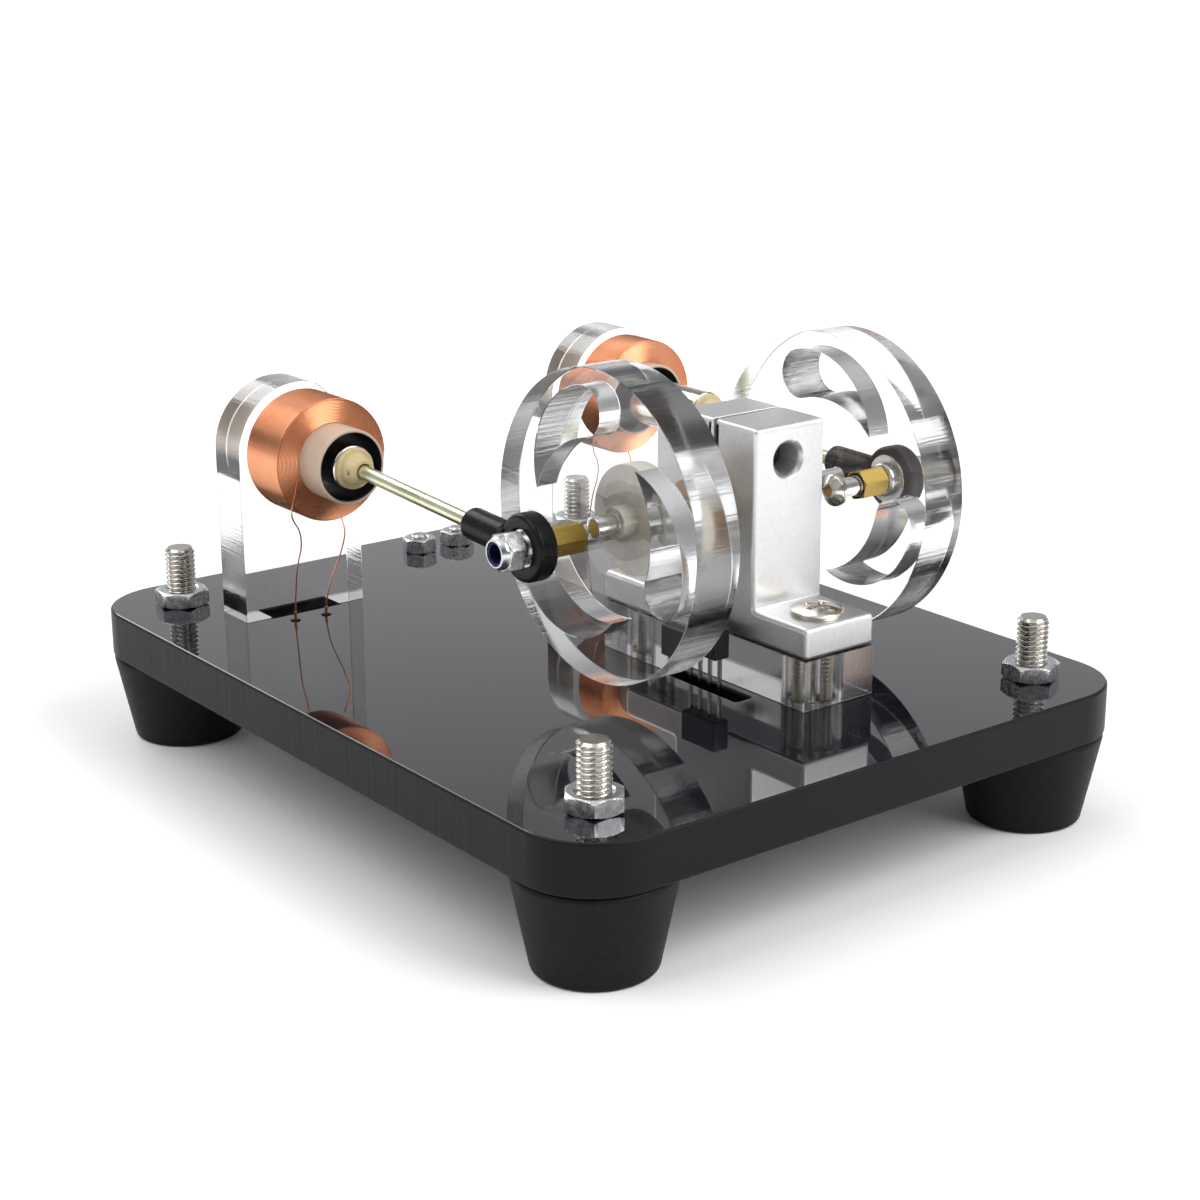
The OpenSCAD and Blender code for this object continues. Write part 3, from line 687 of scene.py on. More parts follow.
def blank(name: str) -> tuple[bpy.types.Material, Graph, bpy.types.Node, bpy.types.NodeSocket]:
    """Starts a material.

    Args:
        name: Its name.

    Returns:
        The material, its graph, its Principled BSDF and the Object coordinates' socket.
    """
    material = bpy.data.materials.new(name)
    material.use_nodes = True
    g = Graph(material.node_tree)
    shader = next(n for n in g.tree.nodes if n.type == "BSDF_PRINCIPLED")
    place = g.node("ShaderNodeTexCoord").outputs["Object"]
    return material, g, shader, place


def black_acrylic(effects: Effects) -> bpy.types.Material:
    """Black sheet: mirror-smooth top and bottom, sawn satin edge, a few specks and hairlines on the top."""
    material, g, shader, place = blank("black_acrylic")
    normal = g.node("ShaderNodeSeparateXYZ", {0: g.node("ShaderNodeNewGeometry").outputs["Normal"]}).outputs[2]
    face = g.node("ShaderNodeMapRange", {0: g.math("ABSOLUTE", normal), 1: 0.9, 2: 0.99, 3: 0.0, 4: 1.0}).outputs[0]
    saw = g.node("ShaderNodeMapping", {"Vector": place, "Scale": (1500.0, 1500.0, 60.0)}).outputs[0]
    streak = g.node("ShaderNodeTexNoise", {"Vector": saw, "Scale": 1.0, "Detail": 2.0}).outputs[0]
    marks = g.node("ShaderNodeGroup", {}, node_tree=effects.handling)
    g.tree.links.new(place, marks.inputs["Place"])
    marks.inputs["Amount"].default_value = 0.35
    wear = g.math("MAXIMUM", marks.outputs["Specks"], marks.outputs["Lines"])
    top = g.math("ADD", g.math("MULTIPLY", wear, 0.3), 0.035)
    edge = g.math("ADD", g.math("MULTIPLY", streak, 0.2), 0.32)
    rough = g.node("ShaderNodeMix", {0: face, 2: edge, 3: top}, data_type="FLOAT").outputs[0]
    colour = g.mix(face, (0.007, 0.007, 0.008, 1), (0.006, 0.006, 0.009, 1))
    g.tree.links.new(rough, shader.inputs["Roughness"])
    g.tree.links.new(colour, shader.inputs["Base Color"])
    shader.inputs["Specular IOR Level"].default_value = 0.14
    g.tree.links.new(g.math("MULTIPLY", face, g.math("SUBTRACT", 1.0, g.math("MULTIPLY", wear, 0.3))),
        shader.inputs["Coat Weight"])
    shader.inputs["Coat Roughness"].default_value = 0.025
    shader.inputs["Coat IOR"].default_value = 1.5
    height = g.math("MULTIPLY", streak, g.math("SUBTRACT", 1.0, face))
    bump = g.node("ShaderNodeBump", {"Height": height, "Distance": 0.00004, "Strength": 0.6})
    g.tree.links.new(bump.outputs[0], shader.inputs["Normal"])
    return material


def clear_acrylic(axis: Axis) -> bpy.types.Material:
    """Clear sheet with polished faces and laser-cut walls whose fine streaks run along the sheet's thickness.

    Args:
        axis: Direction of the sheet's thickness.

    Returns:
        The material.
    """
    material, g, shader, place = blank("clear_acrylic_" + axis.name.lower())
    normal = g.node("ShaderNodeSeparateXYZ", {0: g.node("ShaderNodeNewGeometry").outputs["Normal"]}).outputs[axis.value]
    wall = g.node("ShaderNodeMapRange", {0: g.math("ABSOLUTE", normal), 1: 0.3, 2: 0.8, 3: 1.0, 4: 0.0}).outputs[0]
    scale = [1400.0] * 3
    scale[axis.value] = 50.0
    drawn = g.node("ShaderNodeMapping", {"Vector": place, "Scale": scale}).outputs[0]
    streak = g.node("ShaderNodeTexNoise", {"Vector": drawn, "Scale": 1.0, "Detail": 3.0,
        "Roughness": 0.65}).outputs[0]
    shader.inputs["Transmission Weight"].default_value = 1.0
    shader.inputs["IOR"].default_value = 1.49
    tint = g.mix(wall, (0.985, 0.99, 0.99, 1), (0.95, 0.955, 0.95, 1))
    g.tree.links.new(tint, shader.inputs["Base Color"])
    rough = g.math("MULTIPLY", wall, g.math("ADD", g.math("MULTIPLY", streak, 0.22), 0.02))
    g.tree.links.new(rough, shader.inputs["Roughness"])
    bump = g.node("ShaderNodeBump", {"Height": g.math("MULTIPLY", streak, wall), "Distance": 0.00008,
        "Strength": 0.6})
    g.tree.links.new(bump.outputs[0], shader.inputs["Normal"])
    return material


def bobbin_plastic(name: str, centre: tuple[float, float, float], edge: float) -> bpy.types.Material:
    """Satin white tube, tinted warm by painted copper-coloured light, whose bore is painted black as shade.

    Args:
        name: Name of the material.
        centre: A point on the tube's axis, which runs along Y.
        edge: Radius where the bore's painted black shade turns to the tube's tinted white.

    Returns:
        The material.
    """
    material, g, shader, place = blank(name)
    centred = g.node("ShaderNodeVectorMath", {0: place, 1: centre}, operation="SUBTRACT").outputs[0]
    flat = g.node("ShaderNodeVectorMath", {0: centred, 1: (1.0, 0.0, 1.0)}, operation="MULTIPLY").outputs[0]
    radius = g.node("ShaderNodeVectorMath", {0: flat}, operation="LENGTH").outputs["Value"]
    white = g.node("ShaderNodeMapRange", {0: radius, 1: edge - 0.05 * MM, 2: edge + 0.05 * MM, 3: 0.0,
        4: 1.0}).outputs[0]
    cloud = g.node("ShaderNodeTexNoise", {"Vector": place, "Scale": 240.0, "Detail": 3.0}).outputs[0]
    # Painted light: the white plastic's colour is warmed towards pink, standing in for copper light shining through the
    # tube.
    skin = g.mix(cloud, (0.50, 0.385, 0.30, 1), (0.62, 0.50, 0.41, 1))
    # Painted shade: inside the edge radius the bore is painted near black.
    g.tree.links.new(g.mix(white, (0.006, 0.006, 0.007, 1), skin), shader.inputs["Base Color"])
    g.tree.links.new(g.math("ADD", g.math("MULTIPLY", cloud, 0.12), 0.26), shader.inputs["Roughness"])
    shader.inputs["Specular IOR Level"].default_value = 0.35
    return material


def copper_wire(name: str, step: float, radial: bool, centre: tuple[float, float, float]) -> bpy.types.Material:
    """Enamelled copper: colour shifts a little from turn to turn and fine ridges follow the wire.

    Args:
        name: Name of the material.
        step: Distance between ridges.
        radial: Whether the ridges are rings on the end face rather than bands along Y.
        centre: A point on the coil's axis.

    Returns:
        The material.
    """
    material, g, shader, place = blank(name)
    centred = g.node("ShaderNodeVectorMath", {0: place, 1: centre}, operation="SUBTRACT").outputs[0]
    parts = g.node("ShaderNodeSeparateXYZ", {0: centred})
    if radial:
        flat = g.node("ShaderNodeCombineXYZ", {0: parts.outputs[0], 2: parts.outputs[2]}).outputs[0]
        run = g.node("ShaderNodeVectorMath", {0: flat}, operation="LENGTH").outputs["Value"]
    else:
        run = parts.outputs[1]
    turns = g.math("MULTIPLY", run, 1 / step)
    each = g.node("ShaderNodeTexWhiteNoise", {"W": g.math("FLOOR", turns)}, noise_dimensions="1D").outputs["Value"]
    cloud = g.node("ShaderNodeTexNoise", {"Vector": place, "Scale": 110.0, "Detail": 2.0}).outputs[0]
    shade = g.math("ADD", g.math("MULTIPLY", each, 0.12), g.math("MULTIPLY", cloud, 0.88))
    ramp = g.node("ShaderNodeValToRGB", {0: shade})
    ramp.color_ramp.elements[0].position, ramp.color_ramp.elements[0].color = 0.2, (0.66, 0.25, 0.115, 1)
    ramp.color_ramp.elements[1].position, ramp.color_ramp.elements[1].color = 0.8, (0.82, 0.37, 0.2, 1)
    g.tree.links.new(ramp.outputs[0], shader.inputs["Base Color"])
    g.tree.links.new(g.math("ADD", g.math("MULTIPLY", cloud, 0.08), 0.24), shader.inputs["Roughness"])
    shader.inputs["Metallic"].default_value = 1.0
    shader.inputs["Coat Weight"].default_value = 0.25
    shader.inputs["Coat Roughness"].default_value = 0.12
    wave = g.math("SINE", g.math("MULTIPLY", turns, 2 * math.pi))
    bump = g.node("ShaderNodeBump", {"Height": wave, "Distance": 0.00002, "Strength": 0.5})
    g.tree.links.new(bump.outputs[0], shader.inputs["Normal"])
    return material


FINISHES = (
    Finish("black_rubber", (0.007, 0.007, 0.007), (0.012, 0.012, 0.012), rough=0.5, rough_span=0.12, scale=700,
        bump=2e-5, specular=0.12),
    Finish("stainless", (0.47, 0.45, 0.41), (0.6, 0.58, 0.54), 1, 0.24, 0.1, 500, 4e-6),
    Finish("zinc_plate", (0.56, 0.57, 0.58), (0.68, 0.69, 0.70), 1, 0.26, 0.14, 900, 6e-6),
    Finish("nickel", (0.66, 0.62, 0.55), (0.74, 0.70, 0.63), 1, 0.16, 0.08, 500, 3e-6),
    Finish("ground_steel", (0.62, 0.61, 0.59), (0.7, 0.69, 0.67), 1, 0.25, 0.1, 900, 4e-6, (0.1, 1, 1)),
    Finish("aluminium", (0.66, 0.66, 0.665), (0.74, 0.74, 0.745), 1, 0.4, 0.08, 1400, 1.4e-5),
    Finish("bronze", (0.36, 0.19, 0.08), (0.5, 0.3, 0.13), 1, 0.4, 0.15, 900, 1e-5),
    Finish("brass", (0.46, 0.305, 0.068), (0.58, 0.405, 0.108), 1, 0.48, 0.1, 700, 5e-6, (0.15, 1, 1)),
    Finish("olive_zinc", (0.55, 0.55, 0.34), (0.8, 0.81, 0.62), 1, 0.28, 0.12, 260, 5e-6, (1, 0.25, 1)),
    Finish("black_plastic", (0.005, 0.005, 0.005), (0.009, 0.009, 0.009), 0, 0.3, 0.1, 500, 8e-6, specular=0.15),
    Finish("beige_plastic", (0.53, 0.42, 0.215), (0.62, 0.51, 0.3), 0, 0.42, 0.1, 500, 5e-6),
    Finish("ferrite", (0.38, 0.355, 0.3), (0.55, 0.51, 0.44), 0, 0.45, 0.2, 300, 1e-5),
    Finish("black_oxide", (0.012, 0.012, 0.013), (0.03, 0.03, 0.03), 0.6, 0.35, 0.1, 700, 5e-6),
    Finish("sensor_black", (0.012, 0.012, 0.012), (0.02, 0.02, 0.02), 0, 0.45, 0.1, 900, 8e-6),
    Finish("blue_nylon", (0.004, 0.006, 0.03), (0.007, 0.01, 0.055), 0, 0.35, 0.1, 500, 5e-6, specular=0.2),
)


@dataclass
class Studio:
    """Camera, floor and soft light.

    Args:
        eye: Camera's place.
        azimuth: Direction the camera looks along, in degrees; 0 is +Y.
        elevation: Height above the horizon in degrees.
        roll: Turn about the view's axis in degrees.
        focal_px: Focal length in the photograph's pixels.
        principal_px: Principal point in the photograph's pixels.
    """

    eye: tuple[float, float, float] = (-0.21825, -0.28814, 0.14367)
    azimuth: float = -39.72
    elevation: float = 17.40
    roll: float = 0.50
    focal_px: float = 2320.3
    principal_px: tuple[float, float] = (687.7, 595.4)

    def camera(self) -> None:
        """Sets the camera to the photograph's view.

        The axis that points back from the view is (sin a cos e, -cos a cos e, sin e), and the right-hand axis
        (cos a, sin a, 0) is turned about it by the roll.
        """
        data = bpy.data.cameras.new("camera")
        data.sensor_width = 36.0
        data.lens = self.focal_px / PHOTO_SIDE * 36.0
        data.shift_x = -(self.principal_px[0] - PHOTO_SIDE / 2) / PHOTO_SIDE
        data.shift_y = (self.principal_px[1] - PHOTO_SIDE / 2) / PHOTO_SIDE
        data.clip_start, data.clip_end = 0.01, 50
        a, e, r = (math.radians(v) for v in (self.azimuth, self.elevation, self.roll))
        back = Vector((math.sin(a) * math.cos(e), -math.cos(a) * math.cos(e), math.sin(e)))
        right = Vector((math.cos(a), math.sin(a), 0))
        up = back.cross(right)
        right, up = right * math.cos(r) + up * math.sin(r), up * math.cos(r) - right * math.sin(r)
        obj = bpy.data.objects.new("camera", data)
        bpy.context.scene.collection.objects.link(obj)
        obj.matrix_world = Matrix.Translation(self.eye) @ Matrix((right, up, back)).transposed().to_4x4()
        bpy.context.scene.camera = obj

    def lamp(self, name: str, place: tuple[float, float, float], aim: tuple[float, float, float], size: float,
            power: float) -> None:
        """Adds a square soft lamp that faces a point; clear parts show the pale studio in its place."""
        data = bpy.data.lights.new(name, "AREA")
        data.size, data.energy = size, power
        obj = bpy.data.objects.new(name, data)
        bpy.context.scene.collection.objects.link(obj)
        obj.location = place
        obj.visible_transmission = False
        obj.rotation_mode = "QUATERNION"
        obj.rotation_quaternion = (Vector(aim) - Vector(place)).to_track_quat("-Z", "Y")

    def world(self) -> None:
        """A soft studio: pale walls behind and beside the object, a dark side towards the room, and a bright ceiling.

        The level is the height's ramp for the pale side and for the dark side, mixed by the direction's part along the
        level line from the room to the wall behind the object. Rays that see it straight or through clear parts see
        white.
        """
        world = bpy.data.worlds.new("studio")
        world.use_nodes = True
        bpy.context.scene.world = world
        g = Graph(world.node_tree)
        background = next(n for n in g.tree.nodes if n.type == "BACKGROUND")
        path = g.node("ShaderNodeLightPath")
        through = g.math("MULTIPLY", path.outputs["Is Transmission Ray"],
            g.math("LESS_THAN", path.outputs["Glossy Depth"], 0.5))
        seen = g.math("MAXIMUM", path.outputs["Is Camera Ray"], through)
        direction = g.node("ShaderNodeTexCoord").outputs["Generated"]
        height = g.node("ShaderNodeSeparateXYZ", {0: direction}).outputs[2]
        behind = g.node("ShaderNodeVectorMath", {0: direction, 1: (0.639, 0.769, 0.0)},
            operation="DOT_PRODUCT").outputs["Value"]
        pale = self.ramp(g, height, ((0.0, 0.9), (0.22, 0.72), (0.36, 0.5), (0.5, 0.25), (0.75, 0.5), (1.0, 0.95)))
        dark = self.ramp(g, height, ((0.0, 0.5), (0.15, 0.32), (0.3, 0.2), (0.6, 0.18), (0.8, 0.6), (1.0, 0.95)))
        side = g.node("ShaderNodeMapRange", {0: behind, 1: -0.15, 2: 0.45, 3: 0.0, 4: 1.0}).outputs[0]
        g.tree.links.new(g.mix(seen, g.mix(side, dark, pale), (1, 1, 1, 1)), background.inputs[0])
        background.inputs[1].default_value = 1.0

    def ramp(self, g: Graph, height: bpy.types.NodeSocket,
            stops: tuple[tuple[float, float], ...]) -> bpy.types.NodeSocket:
        """Returns a grey level read from a ramp of (height, level) stops."""
        made = g.node("ShaderNodeValToRGB", {0: height})
        points = made.color_ramp.elements
        points[0].position, points[0].color = stops[0][0], (stops[0][1],) * 3 + (1,)
        points[1].position, points[1].color = stops[-1][0], (stops[-1][1],) * 3 + (1,)
        for position, level in stops[1:-1]:
            points.new(position).color = (level, level, level * 1.03, 1)
        return made.outputs[0]

    def floor(self) -> None:
        """A wide white floor that keeps the shadow; rays that show it see it glow a little, more with distance."""
        half = 6.0
        points = np.array([[-half, -half, 0], [half, -half, 0], [half, half, 0], [-half, half, 0]])
        shell = Shell(points, np.array([[0, 1, 2, 3]]), np.zeros((0, 3), int), np.ones(1, bool), np.zeros(0, bool))
        obj = mesh_object("floor", [shell])
        material, g, shader, place = blank("floor")
        shader.inputs["Roughness"].default_value = 0.7
        shader.inputs["Specular IOR Level"].default_value = 0.2
        shader.inputs["Base Color"].default_value = (0.93, 0.93, 0.935, 1)
        path = g.node("ShaderNodeLightPath")
        seen = g.math("MAXIMUM", path.outputs["Is Camera Ray"],
            g.math("MAXIMUM", path.outputs["Is Glossy Ray"], path.outputs["Is Transmission Ray"]))
        away = g.node("ShaderNodeVectorMath", {0: place}, operation="LENGTH").outputs["Value"]
        glow = g.node("ShaderNodeMapRange", {0: away, 1: 0.14, 2: 0.55, 3: 0.02, 4: 1.0}).outputs[0]
        shader.inputs["Emission Strength"].default_value = 1.0
        g.tree.links.new(g.mix(seen, (0, 0, 0, 1), glow), shader.inputs["Emission Color"])
        obj.data.materials.append(material)

    def build(self) -> None:
        """Makes camera, lamps, world and floor."""
        self.camera()
        self.world()
        self.floor()
        self.lamp("key", (0.3, -0.6, 0.62), (0, 0, 0.03), 0.6, 6.2)
        self.lamp("left", (-0.5, 0.15, 0.65), (0, 0, 0.03), 0.6, 2.6)
        self.lamp("back", (0.0, 0.75, 0.55), (0, 0, 0.04), 0.4, 2.2)
        bpy.context.scene.view_settings.view_transform = "Standard"
        log.info("studio ready")


class Workshop:
    """Finishes pieces: gives each its material and body and hides the CAD nodes that it stands for."""

    def __init__(self) -> None:
        """Builds the shared effects and the plain finishes."""
        self.effects = Effects()
        self.materials = {f.name: f.build(self.effects) for f in FINISHES}
        self.materials["black_acrylic"] = black_acrylic(self.effects)
        for axis in Axis:
            self.materials["clear_acrylic_" + axis.name] = clear_acrylic(axis)
        log.info("%d finishes ready", len(self.materials))

    def place(self, obj: bpy.types.Object, body: str, slot: str, material: bpy.types.Material | str,
            *nodes: str) -> bpy.types.Object:
        """Finishes one piece.

        Args:
            obj: The piece.
            body: CAD body it rides on.
            slot: The record's material slot; not used.
            material: The material or its name.
            *nodes: CAD nodes it replaces.

        Returns:
            The piece.
        """
        made = self.materials[material] if isinstance(material, str) else material
        obj.data.materials.clear()
        obj.data.materials.append(made)
        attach(obj, body)
        if nodes:
            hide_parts(*nodes)
        log.info("piece %s rides on %s", obj.name, body)
        return obj

    def dress(self, node: str, material: str) -> None:
        """Gives a carried-over CAD node its finish."""
        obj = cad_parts[node]
        obj.data.materials.clear()
        obj.data.materials.append(self.materials[material])
        log.info("node %s dressed in %s", node, material)


@dataclass
class Base:
    """The plate, its feet and the fasteners through them.

    Args:
        x: Plate's size along X.
        y: Plate's size along Y.
        t: Plate's thickness.
        corner: Radius of the plate's corners.
        foot_h: Height of the feet, where the plate's underside lies.
        bolt_x: Distance of the foot bolts from the middle along X.
        bolt_y: The same along Y.
        bolt_r: Radius of the foot bolts' threads.
        top: Height of the plate's top face.
        bolt_top: Height of the foot bolts' ends.
        stands: For each coil the stand's middle along X, its front face and the winding's front end along Y.
        screws: Places of the block's two screws.
        terminals: Places of the two terminal bolts.
        nut_turns: Turn of each foot nut in degrees.
    """

    x: float = 110 * MM
    y: float = 140 * MM
    t: float = 8 * MM
    corner: float = 12 * MM
    foot_h: float = 15 * MM
    bolt_x: float = 43 * MM
    bolt_y: float = 58 * MM
    bolt_r: float = 2.5 * MM
    top: float = 23 * MM
    bolt_top: float = 33 * MM
    stands: tuple[tuple[float, float, float], ...] = ((-28.6 * MM, 41.3 * MM, 31 * MM),
        (42.2 * MM, 45.8 * MM, 38 * MM))
    screws: tuple[tuple[float, float], ...] = ((11 * MM, -10.2 * MM), (11 * MM, -42.8 * MM))
    terminals: tuple[tuple[float, float], ...] = ((6.5 * MM, 60 * MM), (14.8 * MM, 60 * MM))
    nut_turns: tuple[float, ...] = (52.3, 19, 22.3, 0)

    def corners(self) -> list[tuple[float, float]]:
        """Places of the four foot bolts: near, left, right and far."""
        return [(-self.bolt_x, -self.bolt_y), (-self.bolt_x, self.bolt_y), (self.bolt_x, -self.bolt_y),
            (self.bolt_x, self.bolt_y)]

    def plate(self, shop: Workshop) -> None:
        """Extrudes the plate's outline, four arcs joined by straight sides, with all its holes."""
        hx, hy, r = self.x / 2 - self.corner, self.y / 2 - self.corner, self.corner
        parts = [arc(sx * hx, sy * hy, r, a, a + 90, 17)
            for sx, sy, a in ((1, 1, 0), (-1, 1, 90), (-1, -1, 180), (1, -1, 270))]
        outlines = [np.concatenate(parts)]
        outlines += [circle(cx, cy, self.bolt_r + 0.1 * MM, 40, True) for cx, cy in self.corners()]
        for cx, cy, coil_y in self.stands:
            outlines.append(slot_hole(cx, cy + 4 * MM, 13.2 * MM, 8.2 * MM))
            outlines.append(circle(cx - 4.2 * MM, coil_y + 6.7 * MM, 0.6 * MM, 20, True))
            outlines.append(circle(cx + 1.5 * MM, coil_y + 6.3 * MM, 0.6 * MM, 20, True))
        outlines.append(slot_hole(0.7 * MM, -30 * MM, 3 * MM, 16 * MM))
        outlines += [circle(cx, cy, 2.1 * MM, 32, True) for cx, cy in self.screws]
        outlines += [circle(cx, cy, 1.6 * MM, 32, True) for cx, cy in self.terminals]
        shell = prism_shell(outlines, self.t, 0.45 * MM, 4).moved(Matrix.Translation((0, 0, self.foot_h)))
        shop.place(mesh_object("plate", [shell]), "base", "black_acrylic", "black_acrylic", "base_plate")

    def feet(self, shop: Workshop) -> None:
        """Turns each foot: a cone with a rolled lip, a soft lower edge and a recess for the bolt's head."""
        profile = filleted(
            [
                (0, 7.6 * MM, 0),
                (0, 9 * MM, 0.9 * MM),
                (15 * MM, 12 * MM, 0.8 * MM),
                (15 * MM, 2.7 * MM, 0),
                (7 * MM, 2.7 * MM, 0),
                (7 * MM, 6 * MM, 0.3 * MM),
                (0, 6 * MM, 0.4 * MM),
                (0, 7.6 * MM, 0),
            ]
        )[:-1]
        for name, (cx, cy) in zip(("near", "left", "right", "far"), self.corners()):
            shell = lathe_shell(profile, 96).moved(along(Axis.Z, cx, cy, 0))
            shop.place(mesh_object("rubber_foot_" + name, [shell]), "base", "black_rubber", "black_rubber",
                "foot_" + name)

    def fasteners(self, shop: Workshop) -> None:
        """Threads the four bolts and sets nuts and washers on them."""
        bolts, nuts, washers = [], [], []
        head = filleted([(2.6 * MM, 1e-6, 0), (2.6 * MM, 4.75 * MM, 1.4 * MM), (6 * MM, 4.75 * MM, 0.15 * MM),
            (6 * MM, 1e-6, 0)], 6)
        for (cx, cy), turn in zip(self.corners(), self.nut_turns):
            put = along(Axis.Z, cx, cy, 0)
            bolts += [thread_shell(5.8 * MM, self.bolt_top, self.bolt_r, 0.8 * MM).moved(put),
                lathe_shell(head, 64, False).moved(put)]
            nuts.append(nut_shell(8 * MM, 2.7 * MM, 2.45 * MM).moved(along(Axis.Z, cx, cy, self.top, turn)))
            washers.append(lathe_shell(ring_profile(6 * MM, 7 * MM, 2.65 * MM, 5.5 * MM, 0.1 * MM), 64).moved(put))
        shop.place(mesh_object("foot_bolt_threads", bolts), "base", "stainless", "stainless", "foot_bolts")
        shop.place(mesh_object("foot_bolt_nuts", nuts, 24), "base", "zinc_plate", "zinc_plate", "foot_nuts")
        shop.place(mesh_object("foot_bolt_washers", washers), "base", "zinc_plate", "zinc_plate", "foot_washers")

    def posts(self, shop: Workshop) -> None:
        """Threads the two terminal bolts and sets their nuts."""
        bolts, nuts = [], []
        head = filleted([(12.6 * MM, 1e-6, 0), (12.6 * MM, 2.8 * MM, 0.8 * MM), (15 * MM, 2.8 * MM, 0.1 * MM),
            (15 * MM, 1e-6, 0)], 6)
        for k, (cx, cy) in enumerate(self.terminals):
            put = along(Axis.Z, cx, cy, 0)
            bolts += [thread_shell(14.5 * MM, 26.2 * MM, 1.5 * MM, 0.5 * MM).moved(put),
                lathe_shell(head, 48, False).moved(put)]
            nuts.append(nut_shell(5.5 * MM, 2.6 * MM, 1.47 * MM).moved(along(Axis.Z, cx, cy, self.top, 10 + 25 * k)))
        shop.place(mesh_object("terminal_threads", bolts), "base", "stainless", "stainless", "terminal_bolts")
        shop.place(mesh_object("terminal_hex_nuts", nuts, 24), "base", "zinc_plate", "zinc_plate", "terminal_nuts")

    def build(self, shop: Workshop) -> None:
        """Makes the whole base."""
        self.plate(shop)
        self.feet(shop)
        self.fasteners(shop)
        self.posts(shop)


ROUTE_FROM_FACE = (
    (-6.5, -0.25, 26.6), (-7.3, -0.25, 23.7), (-8, -0.25, 20.9), (-7.4, 0.3, 19.2), (-5.9, 1.2, 17), (-5, 2.4, 14),
    (-5.1, 3.8, 10), (-4.6, 5.4, 5.6), (-4.2, 6.6, 1.6), (-4.2, 6.7, -2), (-4.2, 6.7, -9),
)
ROUTE_FROM_UNDER = (
    (4.6, 6.9, 18.4), (5.2, 6.2, 16), (5.1, 5.4, 13.5), (3.6, 5.2, 9.5), (2, 5.8, 5), (1.5, 6.3, 1),
    (1.5, 6.3, -2), (1.5, 6.3, -9),
)


def smooth_route(route: tuple[tuple[float, float, float], ...], steps: int = 8) -> np.ndarray:
    """Runs a Catmull-Rom curve through a route given in millimetres.

    Between two points b and c with neighbours a and d the curve is half of
    2b + (c - a) t + (2a - 5b + 4c - d) t^2 + (3b - a - 3c + d) t^3.
    """
    p = np.array(route) * MM
    a, b = np.concatenate([p[:1], p[:-2]]), p[:-1]
    c, d = p[1:], np.concatenate([p[2:], p[-1:]])
    t = np.linspace(0, 1, steps, endpoint=False)[None, :, None]
    a, b, c, d = (v[:, None] for v in (a, b, c, d))
    inner = 0.5 * (2 * b + (c - a) * t + (2 * a - 5 * b + 4 * c - d) * t**2 + (3 * b - a - 3 * c + d) * t**3)
    return np.concatenate([inner.reshape(-1, 3), p[-1:]])


